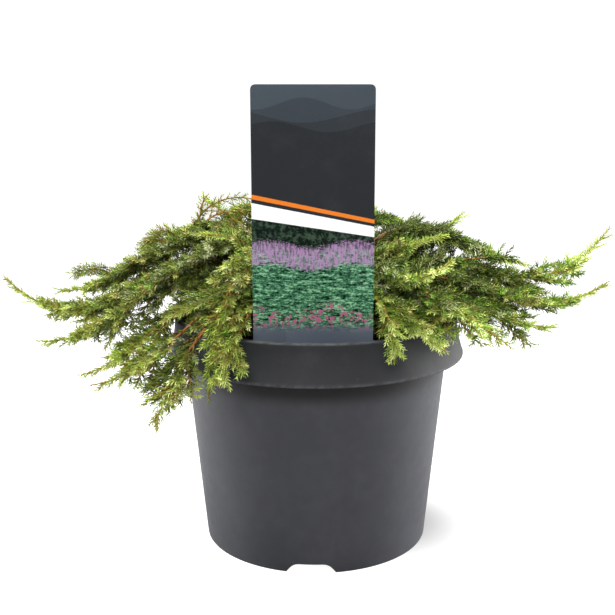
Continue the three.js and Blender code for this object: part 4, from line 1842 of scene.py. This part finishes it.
    def fitted(self, side: SideShoot, wanted: float, owner: int, knit: float, root_clear: float) -> bool:
        """Gives a side shoot the longest length that has room.

        Args:
            side: The side shoot.
            wanted: The length that the rule asks for.
            owner: The number of its shoot.
            knit: How far it may reach in among its neighbours.
            root_clear: How far from its root the tests start.

        Returns:
            Whether there is room for it.
        """
        for share in RULE.lengths:
            side.length = wanted * share
            if side.length < self.spray_least:
                return False
            if self.room.clear(side.places(self.outline(side.length, root_clear)), owner, knit):
                return True
        return False

    def has_room(self, points: Array) -> bool:
        """Returns whether a short twig is clear of the pot, the compost, the label and the stem."""
        return bool(self.room.clear_of_hard(points[1:], self.needle_room, self.label_room).all())

    def freshness(self, share: float) -> float:
        """Returns how fresh the green is at a share of a shoot."""
        return self.fresh_root + self.fresh_rise * share

    def tint(self, shoot: Shoot, freshness: float, dice: random.Random) -> Tint:
        """Deals out a green.

        Args:
            shoot: The shoot that the spray grows on.
            freshness: From 0 deep in the crown to 1 at its tips.
            dice: The draw for this spray.

        Returns:
            The green.
        """
        value = freshness + (self.young_rise if shoot.young else 0.0) + dice.gauss(0, self.tint_spread)
        value += self.shoot_spread * sin(self.shoot_waves * shoot.number)
        value += self.right_rise * (freshness - self.right_turn) if shoot.side == "right" else 0.0
        green = GREENS[sum(value > step for step in self.tint_steps)]
        if green is Tint.OLIVE and dice.random() > self.olive[shoot.side]:
            green = Tint.FRESH if value > self.olive_fresh else Tint.MOSS
        if green in (Tint.SHADE, Tint.DEEP) and dice.random() < self.silver:
            return Tint.SILVER
        most, fade = self.grass_fade
        if dice.random() < self.grass[shoot.side] * min(1.0, most - fade * value):
            return GRASSIER.get(green, green)
        return green

    def sub_shoots(self, shoot: Shoot, parent: SideShoot, freshness: float, dice: random.Random,
                   most: float) -> Iterable[FineTwig]:
        """Grows the finest shoots on a side shoot, inside the outline of its blade.

        Args:
            shoot: The shoot that they belong to.
            parent: The side shoot.
            freshness: How fresh the parent's green is.
            dice: The draw for this side shoot.
            most: The longest that they grow.

        Yields:
            The finest twigs that have room.
        """
        width = blade_width(parent.length)
        place, hand = self.sub_first, 1
        while place < parent.length - self.sub_last:
            share = place / parent.length
            swell = min(1.0, self.sub_swell[0] + self.sub_swell[1] * share)
            taper = 1 - self.sub_taper[0] * share ** self.sub_taper[1]
            reach = width * swell * taper * dice.uniform(*self.sub_reach) * self.sub_width
            forward = radians(dice.uniform(-1, 1) * self.sub_forward[1] + self.sub_forward[0])
            roll = radians(copysign(dice.uniform(*self.sub_roll), parent.normal[2]))
            length = min(most * dice.uniform(*self.sub_cap), max(self.sub_least, reach / sin(forward)))
            near = np.array([share - self.sub_look, share, share + self.sub_look])
            before, root, after = parent.line(near)
            ahead = unit(after - before)
            way = leaving(ahead, parent.across * hand, parent.normal, forward, roll)
            points = sprig(root, way, length, ahead, self.sub_bend)
            if self.has_room(points):
                fresh = freshness + self.sub_freshness * share - self.root_shade
                yield FineTwig(points, self.sub_radii, self.tint(shoot, fresh, dice), Kind.FINEST)
            place += self.sub_gap * dice.uniform(*self.length_swing)
            hand = -hand

    def main_twig(self, shoot: Shoot, dice: random.Random) -> list[FineTwig]:
        """Makes the twig that runs through a shoot's foliage to its furthest tip, with its tufts.

        Args:
            shoot: The shoot.
            dice: Its draw.

        Returns:
            Its older part, its young end and the tufts.
        """
        whole = foliage_curve(shoot)
        shares = np.linspace(0, 1, max(self.main_least, int(whole.length() / self.main_step)))
        path = whole.points(shares)
        sway = np.array([[dice.uniform(-1, 1) * self.main_wander for _ in range(3)] for _ in path])
        path = path + sway * np.sin(shares * pi)[:, None]
        back = whole.tangents(0.0) * self.main_back[0 if shoot.bare else 1]
        onward = whole.tangents(1.0) * (RULE.tip_overhang - self.main_end)
        path = np.concatenate([[path[0] - back], path, [path[-1] + onward]])
        cut = int(len(path) * self.main_old)
        middle = RULE.twig_root + (RULE.twig_tip - RULE.twig_root) * self.main_taper
        kind = Kind.BARER_MAIN if shoot.side == "left" else Kind.MAIN
        old = FineTwig(path[:cut + 1], (RULE.twig_root, middle), Tint.MOSS, kind)
        young = FineTwig(path[cut:], (middle, self.main_tip), Tint.FRESH, Kind.LEADER)
        bare_from = dice.uniform(*self.bark_from)
        bare = (bare_from, bare_from + dice.uniform(*self.bark_shown[shoot.side]))
        if shoot.name == self.hanging_stem:
            bare = self.hanging_bark
        return [old, young, *self.tufts(shoot, whole, dice, self.tuft_rolls, bare)]

    def tufts(self, shoot: Shoot, curve: ShootCurve, dice: random.Random, rolls: Pair,
              bare: Pair = (0.0, 0.0)) -> Iterable[FineTwig]:
        """Grows the short tufts that stand along a limb.

        Args:
            shoot: The shoot.
            curve: The line of its foliage or of its bough.
            dice: Its draw.
            rolls: The least and the most roll of a tuft above the level, in degrees.
            bare: The shares between which its bark shows.

        Yields:
            The tufts that have room.
        """
        length = curve.length()
        place, hand = self.tuft_first, 1
        while place < length - self.tuft_last:
            share, left = place / length, length - place
            point, tangent, side, up = curve.frame(share)
            size = min(self.tuft_most, self.tuft_tip + self.tuft_swell * left)
            size *= dice.uniform(*self.length_swing)
            forward, roll = radians(dice.uniform(*self.tuft_forward)), radians(dice.uniform(*rolls))
            way = leaving(tangent, side * hand, up, forward, roll)
            points = sprig(point, way, size, tangent, self.tuft_bend)
            if not bare[0] < share < bare[1] and self.has_room(points):
                green = self.tint(shoot, self.freshness(share) + self.tuft_rise * (1 - share), dice)
                yield FineTwig(points, self.tuft_radii, green, Kind.TUFT)
            place += self.tuft_gap * dice.uniform(*self.length_swing)
            hand = -hand

    def arch(self, arch: Arch, dice: random.Random) -> Iterable[FineTwig]:
        """Grows an airy twig: its own line and small tufts left and right of it.

        Args:
            arch: The twig.
            dice: Its draw.

        Yields:
            The fine twigs.
        """
        line = arch.line(self.arch_points)
        yield FineTwig(line, self.arch_radii, Tint.OLIVE, Kind.AIRY)
        steps = np.diff(line, axis=0)
        length = float(np.linalg.norm(steps, axis=1).sum())
        longer, closer = (self.leafy_longer, self.leafy_closer) if arch.leafy else (1.0, 1.0)
        place, hand = self.arch_first, 1
        while place < length - self.arch_last:
            at = place / length * (len(steps) - 1)
            tangent = unit(steps[int(at)])
            point = line[int(at)] + steps[int(at)] * (at - int(at))
            for turn in (hand, -hand) if arch.leafy else (hand,):
                outward = unit(np.cross(tangent, (0.0, 1.0, 0.0))) * turn
                sway = np.array([0, dice.uniform(-self.arch_sway, self.arch_sway), 0])
                way = unit(tangent * self.arch_way[0] + outward * self.arch_way[1] + sway)
                points = sprig(point, way, dice.uniform(*self.arch_tuft) * longer, tangent, 0.0)
                green = dice.choice((Tint.OLIVE, Tint.FRESH, Tint.MOSS))
                yield FineTwig(points, self.arch_tuft_radii, green, Kind.AIRY_TUFT)
            place += dice.uniform(*self.arch_gap) * closer
            hand = -hand

    def grow(self, shoot: Shoot) -> list[FineTwig]:
        """Grows all the fine twigs of one shoot.

        Args:
            shoot: The shoot.

        Returns:
            The fine twigs.
        """
        whole = foliage_curve(shoot)
        bare = (RULE.tip_length - RULE.tip_overhang) / whole.length()
        curve = ShootCurve(shoot, whole.start, 1 - bare * (1 - whole.start))
        length = curve.length()
        result = self.main_twig(shoot, random.Random(shoot.number))
        scale = shoot.spread * self.slim.get(shoot.name, 1.0)
        fan = shoot.name in self.fans
        for station in range(int((length - RULE.first_station) // RULE.fine_step)):
            along = RULE.first_station + station * RULE.fine_step
            share = along / (length + RULE.tip_length)
            if fan and share > self.fan_start and station % 4 > 1:
                continue
            at = (curve, along / length, station)
            wanted = (self.side_length(share, fan), scale)
            result += self.sprayed(*at, self.upper, wanted, self.freshness(share))
            if shoot.name in self.airy:
                continue
            share += 0.5 * RULE.fine_step / length
            wanted = (self.side_length(share, fan), scale)
            freshness = self.freshness(share) - self.hanging_shade
            knit = self.knit if share < self.knit_share else 0.0
            result += self.sprayed(*at, self.between, wanted, freshness, knit)
        if shoot.bare:
            result += self.bough_sprays(shoot)
        if shoot.name in self.leafy:
            for layer, limb in enumerate((bough_curve(shoot), whole, whole)):
                dice = random.Random(self.leafy_seed + 3 * shoot.number + layer)
                result += self.tufts(shoot, limb, dice, self.leafy_rolls)
        for number, arch in enumerate(ARCHES):
            if arch.name == shoot.name:
                result += self.arch(arch, random.Random(number))
        return result

    def bough_sprays(self, shoot: Shoot) -> list[FineTwig]:
        """Grows the sprays that stand on a shoot's bough.

        Args:
            shoot: The shoot.

        Returns:
            The fine twigs.
        """
        curve = bough_curve(shoot)
        length = curve.length()
        step = RULE.fine_step * self.bough_step
        result: list[FineTwig] = []
        for station in range(int(length * (1 - self.bough_first) // step)):
            share = self.bough_first + station * step / length
            wanted = (self.side_length(0.0) * (0.5 + 0.5 * share), 1.0)
            result += self.sprayed(curve, share, station, self.on_bough, wanted,
                                   self.bough_freshness, self.knit)
        return result

    def sprayed(self, curve: ShootCurve, share: float, station: int, row: Row, wanted: Pair, freshness: float,
                knit: float = 0.0) -> list[FineTwig]:
        """Grows one spray of a row where there is room: a side shoot with its finest shoots.

        Args:
            curve: The line that it stands on.
            share: Where on the line it stands.
            station: Its number in the row.
            row: The row.
            wanted: The length that the rule asks for before the draw, and its scale.
            freshness: How fresh its green is.
            knit: How far it may reach in among its neighbours.

        Returns:
            The fine twigs, or none.
        """
        shoot, number = curve.shoot, station + row.seed
        draw = Draw(RULE.seed_step * (shoot.number + 1) + number)
        side = self.side_shoot(curve, share, station, draw, row)
        length = wanted[0] * draw.around(1.0, RULE.length_spread) * wanted[1]
        if not self.fitted(side, length, shoot.number, knit, row.root_clear):
            return []
        dice = random.Random(self.sub_seed * (shoot.number + 1) + number * self.seed_stride)
        fresh = freshness + dice.gauss(0, self.spray_swing)
        line = side.line(np.linspace(0, 1, max(4, int(side.length / self.spray_step))))
        cut = len(line) // 2
        wide = self.spray_radius[0] + self.spray_radius[1] * side.length
        narrow = self.spray_taper * wide
        old = FineTwig(line[:cut + 1], (wide, narrow), self.tint(shoot, fresh, dice), Kind.SPRAY)
        fresher = self.tint(shoot, fresh + self.spray_fresher, dice)
        young = FineTwig(line[cut:], (narrow, self.spray_tip), fresher, Kind.SPRAY_TIP)
        slim = shoot.name in self.fans and freshness > self.freshness(self.fan_start)
        most = self.sub_most * (self.fan_sub if slim else 1.0)
        return [old, young, *self.sub_shoots(shoot, side, fresh, dice, most)]


# Bark, twigs and needles

Skin = tuple[list[Any], list[Any], list[float]]


@dataclass
class BarkWork:
    """The stem and the boughs, with the relief of thin flaking bark."""

    relief: float = 0.32
    stem_relief: float = 2.4
    stem_sides: int = 72
    stem_seed: float = 31.0
    stem_ease: Pair = (1.5, 0.12)
    bough_sides: int = 20
    bough_seed: float = 7.0
    bough_inward: float = 3.0
    ring_step: float = 0.9
    collar: float = 2.6
    collar_swell: float = 1.1
    cap: float = 0.35
    wrap: float = 0.8
    ridge_scale: float = 1.5
    ridge_stretch: float = 0.16
    flake_scale: Place = (0.7, 0.7, 0.55)
    flake_shift: Place = (5.0, 2.0, 8.0)
    fine_scale: float = 3.2
    weights: Place = (0.6, 0.5, 0.25)
    contrast: float = 0.75
    level: float = 0.6

    def furrows(self, where: Vector) -> float:
        """Works out the bark's height at a place.

        Args:
            where: The place, along the limb in Z.

        Returns:
            The height from 0 in a furrow to 1 on a ridge.
        """
        long = noise.noise(Vector((where.x * self.ridge_scale, where.y * self.ridge_scale,
                                   where.z * self.ridge_stretch)))
        scaled = Vector([part * scale for part, scale in zip(where, self.flake_scale)])
        flakes = noise.noise(scaled + Vector(self.flake_shift))
        fine = noise.noise(where * self.fine_scale)
        mixed = sum(weight * part for weight, part in zip(self.weights, (long, flakes, fine)))
        return min(1.0, max(0.0, 0.5 + self.contrast * mixed))

    def limb(self, centres: Array, radii: Array, sides: int, relief: float, seed: float) -> Skin:
        """Makes the skin of one limb.

        Args:
            centres: The points of its middle line.
            radii: Its radius at each of them.
            sides: The number of faces around.
            relief: The bark's depth in millimetres.
            seed: Sets its bark apart from the other limbs'.

        Returns:
            Vertices, faces, and the bark's height at each vertex.
        """
        tangents = unit(np.gradient(centres, axis=0))
        vertices: list[Any] = []
        heights: list[float] = []
        side = unit(np.cross(tangents[0], (0.3, 0.5, 0.81)))
        gone = 0.0
        for i, centre in enumerate(centres):
            side = unit(side - tangents[i] * (side @ tangents[i]))
            other = np.cross(tangents[i], side)
            if i:
                gone += float(np.linalg.norm(centre - centres[i - 1]))
            for angle in (j * tau / sides for j in range(sides)):
                around = Vector((cos(angle), sin(angle), 0)) * radii[i] * self.wrap
                bark = self.furrows(around + Vector((seed, seed * 0.7, gone)))
                out = side * cos(angle) + other * sin(angle)
                vertices.append(centre + out * (radii[i] + relief * (bark - self.level)))
                heights.append(bark)
        faces: list[Any] = []
        for first in range(0, sides * (len(centres) - 1), sides):
            for j in range(sides):
                low, high = first + j, first + (j + 1) % sides
                faces.append((low, high, high + sides, low + sides))
        for ring, order in ((0, -1), (len(centres) - 1, 1)):
            middle = len(vertices)
            vertices.append(centres[ring] + tangents[ring] * radii[ring] * self.cap * order)
            heights.append(0.5)
            rim = [ring * sides + j for j in range(sides)]
            faces += [(rim[j], rim[(j + 1) % sides], middle)[::order] for j in range(sides)]
        return vertices, faces, heights

    def bough(self, shoot: Shoot, seed: float) -> Skin:
        """Makes the skin of one bough, which swells into the stem and runs up to its foliage.

        Args:
            shoot: Its shoot.
            seed: Sets its bark apart from the other limbs'.

        Returns:
            Vertices, faces, and the bark's height at each vertex.
        """
        curve = bough_curve(shoot)
        shares = np.linspace(0, 1, int(curve.length() / self.ring_step))
        radii = RULE.bough_root + (RULE.bough_tip - RULE.bough_root) * shares
        radii = radii + self.collar_swell * np.exp(-shares * curve.length() / self.collar)
        path = curve.points(shares)
        path = np.concatenate([[path[0] - curve.tangents(0.0) * self.bough_inward], path])
        return self.limb(path, np.concatenate([radii[:1], radii]), self.bough_sides, self.relief, seed)

    def stem(self) -> Skin:
        """Makes the skin of the stem, with an eased top.

        Returns:
            Vertices, faces, and the bark's height at each vertex.
        """
        heights = np.linspace(0, RULE.stem_height, int(RULE.stem_height / self.ring_step)) + RULE.stem_foot
        ease, slope = self.stem_ease
        beyond = heights - heights[-1] + ease
        radii = RULE.stem_radius(heights) * np.where(beyond > 0, 1 - slope * beyond, 1.0)
        relief = self.stem_relief * self.relief
        return self.limb(RULE.stem_centre(heights), radii, self.stem_sides, relief, self.stem_seed)

    def build(self) -> None:
        """Makes the stem and the boughs as one skin of bark."""
        limbs = [self.stem()] + [self.bough(s, self.bough_seed * s.number) for s in SHOOTS if s.bare]
        vertices: list[Any] = []
        faces: list[Any] = []
        heights: list[float] = []
        for points, loops, barks in limbs:
            faces += [tuple(corner + len(vertices) for corner in loop) for loop in loops]
            vertices += points
            heights += barks
        bark = new_object("bark", vertices, faces, BarkSkin().material())
        store(bark.data, "relief", "POINT", heights)
        bark.data.shade_smooth()
        nodes = ["stem"] + [f"bough_{shoot.name}" for shoot in SHOOTS if shoot.bare]
        report(bark, Slot.BARK, nodes)


def dealt(recipe: NodeRecipe, geometry: Any, attribute: str, materials: Sequence[Finish],
          inner: Sequence[Finish] = ()) -> Any:
    """Adds the end of a recipe: every spray gets the materials of its number.

    Args:
        recipe: The recipe that is being built.
        geometry: The realised geometry.
        attribute: The attribute with the number.
        materials: The material of each number.
        inner: The materials of the faces marked as inner, if they differ.

    Returns:
        The dressed geometry.
    """
    number = recipe.math("ROUND", recipe.named(attribute))
    inside = recipe.math("GREATER_THAN", recipe.named("inner"), 0.5)
    shares = [recipe.math("COMPARE", number, float(i), 0.4) for i in range(len(materials))]
    dressing = list(zip(shares, materials))
    dressing += [(recipe.times(share, inside), material) for share, material in zip(shares, inner)]
    for share, material in dressing:
        inputs = {"Geometry": geometry, "Selection": share, "Material": material}
        geometry = recipe.first("GeometryNodeSetMaterial", inputs)
    return geometry


def tube_recipe(materials: Sequence[Finish]) -> NodeRecipe:
    """Builds the recipe that gives fine twigs their skin.

    Args:
        materials: The material of each kind of wood.

    Returns:
        The recipe.
    """
    recipe = NodeRecipe("twig_skins", "GeometryNodeTree", {"Lines": "geometry", "Sides": int},
                        {"Twigs": "geometry"})
    curve = recipe.first("GeometryNodeMeshToCurve", {"Mesh": recipe.source["Lines"]})
    ring = {"Resolution": recipe.source["Sides"], "Radius": 1.0}
    tube = recipe.first("GeometryNodeCurveToMesh", {
        "Curve": curve, "Profile Curve": recipe.first("GeometryNodeCurvePrimitiveCircle", ring),
        "Scale": recipe.named("radius"), "Fill Caps": True,
    })
    real = recipe.first("GeometryNodeRealizeInstances", {0: tube})
    smooth = recipe.first("GeometryNodeSetShadeSmooth", {0: real})
    recipe.give("Twigs", dealt(recipe, smooth, "wood", materials))
    return recipe


def needle_recipe(outer: Sequence[Finish], inner: Sequence[Finish]) -> NodeRecipe:
    """Builds the recipe that sets whorls of needles along fine twigs.

    Args:
        outer: The outer face's material of each green.
        inner: The inner face's material of each green.

    Returns:
        The recipe.
    """
    recipe = NodeRecipe("needle_whorls", "GeometryNodeTree", {
        "Lines": "geometry", "Whorl": "object", "Turn": float, "Uneven turn": float, "Uneven size": float,
        "Nod": float, "Seed": int,
    }, {"Needles": "geometry"})
    source = recipe.source

    def uneven(name: str, seed: float) -> Any:
        """Draws a number from minus to plus an input for each whorl."""
        shift = recipe.math("ADD", source["Seed"], seed)
        inputs = {2: recipe.times(source[name], -1.0), 3: source[name], "Seed": shift}
        return recipe.node("FunctionNodeRandomValue", inputs).outputs[1]

    def rotated(rotation: Any, axis: Place, angle: Any) -> Any:
        """Turns a rotation on about one of its own axes."""
        turn = recipe.first("FunctionNodeAxisAngleToRotation", {"Axis": axis, "Angle": angle})
        return recipe.first("FunctionNodeRotateRotation", {0: rotation, 1: turn}, rotation_space="LOCAL")

    curve = recipe.first("GeometryNodeMeshToCurve", {"Mesh": source["Lines"]})
    along = {"Curve": curve, "Length": recipe.named("gap")}
    whorls = recipe.node("GeometryNodeCurveToPoints", along, mode="LENGTH").outputs
    index = recipe.first("GeometryNodeInputIndex")
    turn = recipe.math("ADD", recipe.times(index, source["Turn"]), uneven("Uneven turn", 1.0))
    nodded = rotated(rotated(whorls["Rotation"], (0, 0, 1), turn), (1, 0, 0), uneven("Nod", 2.0))
    size = recipe.times(recipe.named("size"), recipe.math("ADD", 1.0, uneven("Uneven size", 3.0)))
    wide = recipe.times(size, recipe.named("open"))
    needles = recipe.first("GeometryNodeInstanceOnPoints", {
        "Points": whorls["Points"],
        "Instance": recipe.node("GeometryNodeObjectInfo", {"Object": source["Whorl"]}).outputs["Geometry"],
        "Rotation": nodded, "Scale": recipe.first("ShaderNodeCombineXYZ", {0: wide, 1: wide, 2: size}),
    })
    real = recipe.first("GeometryNodeRealizeInstances", {0: needles})
    recipe.give("Needles", dealt(recipe, real, "tint", outer, inner))
    return recipe


Members = list[tuple[Shoot, list[FineTwig]]]
MEASURES = ("radius", "size", "open", "gap", "tint", "wood", "inner")


@dataclass
class Foliage:
    """Twigs and needles: one piece of each for every side of the crown and age of growth."""

    needle_length: float = 4.1
    needle_width: float = 1.06
    keel: float = 0.36
    tip_drop: float = 0.35
    widest: float = 0.4
    lean: float = 48.0
    root_offset: float = 0.25
    per_whorl: int = 3
    faces_each: int = 4
    most_faces: int = 170000
    turn: float = 60.0
    uneven_turn: float = 0.3
    uneven_size: float = 0.14
    nod: float = 0.22
    twig_sides: int = 3
    twig_roughness: Pair = (0.6, 0.85)
    band_roughness: Pair = (0.55, 0.75)

    def whorl(self) -> Item:
        """Makes one whorl of keeled needles of 4 faces, with the inner faces marked.

        Returns:
            The whorl, which grows along +Z.
        """
        lean = radians(self.lean)
        vertices: list[Array] = []
        faces: list[tuple[int, int, int]] = []
        for i in range(self.per_whorl):
            angle = i * tau / self.per_whorl
            out = np.array([cos(angle), sin(angle), 0.0])
            side = np.array([-sin(angle), cos(angle), 0.0])
            way = out * sin(lean) + np.array([0, 0, cos(lean)])
            under = out * cos(lean) - np.array([0, 0, sin(lean)])
            root = out * self.root_offset
            middle = root + way * self.needle_length * self.widest - under * self.keel
            first = len(vertices)
            vertices += [root, root + way * self.needle_length - under * self.tip_drop,
                         middle + side * self.needle_width / 2, middle - side * self.needle_width / 2]
            centre = np.mean(vertices[first:], axis=0)
            for corners in ((0, 2, 1), (0, 1, 3), (0, 3, 2), (2, 3, 1)):
                a, b, c = (vertices[first + corner] for corner in corners)
                order = -1 if np.cross(b - a, c - a) @ (a - centre) < 0 else 1
                faces.append(tuple(first + corner for corner in corners)[::order])
        item = new_object("whorl", vertices, faces)
        store(item.data, "inner", "FACE", [0.0, 0.0, 1.0, 1.0] * self.per_whorl)
        return item

    def lines(self, name: str, twigs: Sequence[FineTwig]) -> Item:
        """Lays fine twigs out as lines with their measures stored on them.

        Args:
            name: The object's name.
            twigs: The fine twigs.

        Returns:
            The mesh of lines.
        """
        mesh = bpy.data.meshes.new(name)
        counts = [len(twig.points) for twig in twigs]
        ends = np.cumsum(counts)
        places = np.concatenate([twig.points for twig in twigs]) * MM
        edges = np.setdiff1d(np.arange(ends[-1] - 1), ends[:-1] - 1)
        mesh.from_pydata(places.tolist(), np.stack([edges, edges + 1], -1).tolist(), [])
        woods = list(Wood)
        measures = {
            "radius": [np.linspace(*t.radii, n) * MM for t, n in zip(twigs, counts)],
            "size": [np.linspace(*t.kind.sizes, n) for t, n in zip(twigs, counts)],
            "open": [np.linspace(*t.kind.opens, n) for t, n in zip(twigs, counts)],
            "gap": [np.full(n, t.kind.gap * MM) for t, n in zip(twigs, counts)],
            "tint": [twig.tints() for twig in twigs],
            "wood": [np.full(n, woods.index(t.kind.wood)) for t, n in zip(twigs, counts)],
        }
        for label, values in measures.items():
            store(mesh, label, "POINT", np.concatenate(values).astype(np.float32))
        return placed(name, mesh)

    def batches(self, members: Members) -> Iterable[Members]:
        """Shares the shoots of a group out so that no piece of needles grows too large.

        Args:
            members: Each shoot and its fine twigs.

        Yields:
            The shoots of each piece.
        """
        batch: Members = []
        filled = 0.0
        for shoot, twigs in members:
            whorls = sum(twig.length() / twig.kind.gap + 1 for twig in twigs)
            faces = whorls * self.per_whorl * self.faces_each
            if batch and filled + faces > self.most_faces:
                yield batch
                batch, filled = [], 0.0
            batch.append((shoot, twigs))
            filled += faces
        yield batch

    def piece(self, name: str, twigs: Sequence[FineTwig], recipe: NodeRecipe, values: dict[str, Any],
              slot: Slot, nodes: Sequence[str]) -> None:
        """Makes one piece from fine twigs, and takes the growth measures off its mesh.

        Args:
            name: Its name.
            twigs: The fine twigs.
            recipe: The recipe that dresses their lines.
            values: The recipe's values.
            slot: The record's material slot.
            nodes: The CAD nodes that it stands for.
        """
        item = self.lines(name, twigs)
        grow_by(item, recipe, values)
        for label in MEASURES:
            stored = item.data.attributes.get(label)
            if stored:
                item.data.attributes.remove(stored)
        report(item, slot, nodes)

    def build(self, crown: Crown) -> None:
        """Makes the pieces of twigs and needles.

        Args:
            crown: Where the fine twigs come from.
        """
        woods = [LeafGreen(f"twig_{w.name.lower()}", w.value, self.twig_roughness).material() for w in Wood]
        outer = [LeafGreen(f"needle_{t.name.lower()}", t.value[0]).material() for t in Tint]
        bands = [LeafGreen(f"needle_{t.name.lower()}_band", t.value[1], self.band_roughness) for t in Tint]
        inner = [band.material() for band in bands]
        skins, needles, whorl = tube_recipe(woods), needle_recipe(outer, inner), self.whorl()
        values = {
            "Whorl": whorl, "Turn": radians(self.turn), "Uneven turn": self.uneven_turn,
            "Uneven size": self.uneven_size, "Nod": self.nod,
        }
        groups: dict[tuple[str, Slot], list[Shoot]] = {}
        for shoot in SHOOTS:
            groups.setdefault((shoot.side, shoot.slot), []).append(shoot)
        for (side, slot), members in groups.items():
            age = slot.value.split("_")[1]
            grown = [(shoot, crown.grow(shoot)) for shoot in members]
            for number, batch in enumerate(self.batches(grown), 1):
                twigs = [twig for _, own in batch for twig in own]
                nodes = [f"foliage_{shoot.name}" for shoot, _ in batch]
                seeded = {**values, "Seed": batch[0][0].number + 1}
                self.piece(f"needles_{side}_{age}_{number}", twigs, needles, seeded, slot, nodes)
                sides = {"Sides": self.twig_sides}
                self.piece(f"twigs_{side}_{age}_{number}", twigs, skins, sides, Slot.BARK, nodes)
        drop(whorl)


# The studio


@dataclass(frozen=True)
class SoftBox:
    """A soft light: where it hangs and its size, in metres, and its power in watts."""

    name: str
    place: Place
    size: Pair
    power: float


SOFT_BOXES = (
    SoftBox("top_box", (-0.2, 0.05, 1.3), (0.9, 0.8), 21.0),
    SoftBox("front_box", (0.0, -1.05, 1.0), (1.0, 0.4), 17.0),
    SoftBox("left_box", (-1.0, 0.3, 0.45), (0.6, 0.9), 36.0),
    SoftBox("right_box", (1.0, 0.3, 0.5), (0.6, 0.9), 44.0),
)


@dataclass
class Studio:
    """The camera, a plain white sweep and soft light from above, the front and both sides."""

    distance: float = 604.695
    eye_height: float = 269.677
    pitch: float = 0.196
    focal_pixels: float = 950.761
    frame_pixels: float = 615.0
    principal: Pair = (316.034, 307.469)
    sensor: float = 36.0
    clips: Pair = (0.02, 30.0)
    floor_radius: float = 6000.0
    floor_depth: float = 8.0
    floor_segments: int = 96
    backdrop: Pair = (0.13, 1.05)
    lit_height: float = 0.15

    def camera(self) -> None:
        """Sets up the camera at the photograph's angle."""
        data = bpy.data.cameras.new("camera")
        data.sensor_width = self.sensor
        data.lens = self.focal_pixels / self.frame_pixels * self.sensor
        middle = self.frame_pixels / 2
        data.shift_x = (middle - self.principal[0]) / self.frame_pixels
        data.shift_y = (self.principal[1] - middle) / self.frame_pixels
        data.clip_start, data.clip_end = self.clips
        camera = placed("camera", data)
        camera.location = (0.0, -self.distance * MM, self.eye_height * MM)
        camera.rotation_euler = (pi / 2 - self.pitch, 0.0, 0.0)
        bpy.context.scene.camera = camera

    def floor(self) -> None:
        """Lays the plain floor."""
        foot, radius = -self.floor_depth, self.floor_radius
        section = [(0.0, foot), (radius, foot), (radius, 0.0), (0.0, 0.0)]
        vertices, faces = turned(section, self.floor_segments)
        floor = new_object("studio_floor", vertices, faces, StudioWhite().material())

    def world(self) -> None:
        """Makes the backdrop: white to the camera, softer as a light."""
        world = bpy.data.worlds.new("studio")
        world.use_nodes = True
        sheet = NodeSheet(world.node_tree)
        background = next(n for n in world.node_tree.nodes if n.type == "BACKGROUND")
        seen = sheet.node("ShaderNodeLightPath").outputs["Is Camera Ray"]
        sheet.feed(background.inputs["Color"], (1.0, 1.0, 1.0, 1.0))
        sheet.feed(background.inputs["Strength"], sheet.spread(seen, 0.0, 1.0, *self.backdrop))
        bpy.context.scene.world = world

    def light(self, box: SoftBox) -> None:
        """Hangs a soft box that looks at the plant.

        Args:
            box: The soft box.
        """
        data = bpy.data.lights.new(box.name, "AREA")
        data.shape = "RECTANGLE"
        data.size, data.size_y = box.size
        data.energy = box.power
        lamp = placed(box.name, data)
        lamp.location = box.place
        off = Vector(box.place) - Vector((0, 0, self.lit_height))
        lamp.rotation_euler = off.to_track_quat("Z", "Y").to_euler()

    def build(self) -> None:
        """Sets up camera, floor, backdrop and soft boxes."""
        self.camera()
        self.floor()
        self.world()
        for box in SOFT_BOXES:
            self.light(box)
        view = bpy.context.scene.view_settings
        view.view_transform = "Standard"
        view.look = "None"


def main() -> None:
    """Builds the whole plant in order."""
    logging.basicConfig(level=logging.INFO, format="%(message)s")
    Studio().build()
    pot, label = NurseryPot(), PlantLabel()
    pot.build()
    CompostFill().build()
    label.build()
    BarkWork().build()
    Foliage().build(Crown(Room(pot, label)))


if __name__ == "__main__":
    main()
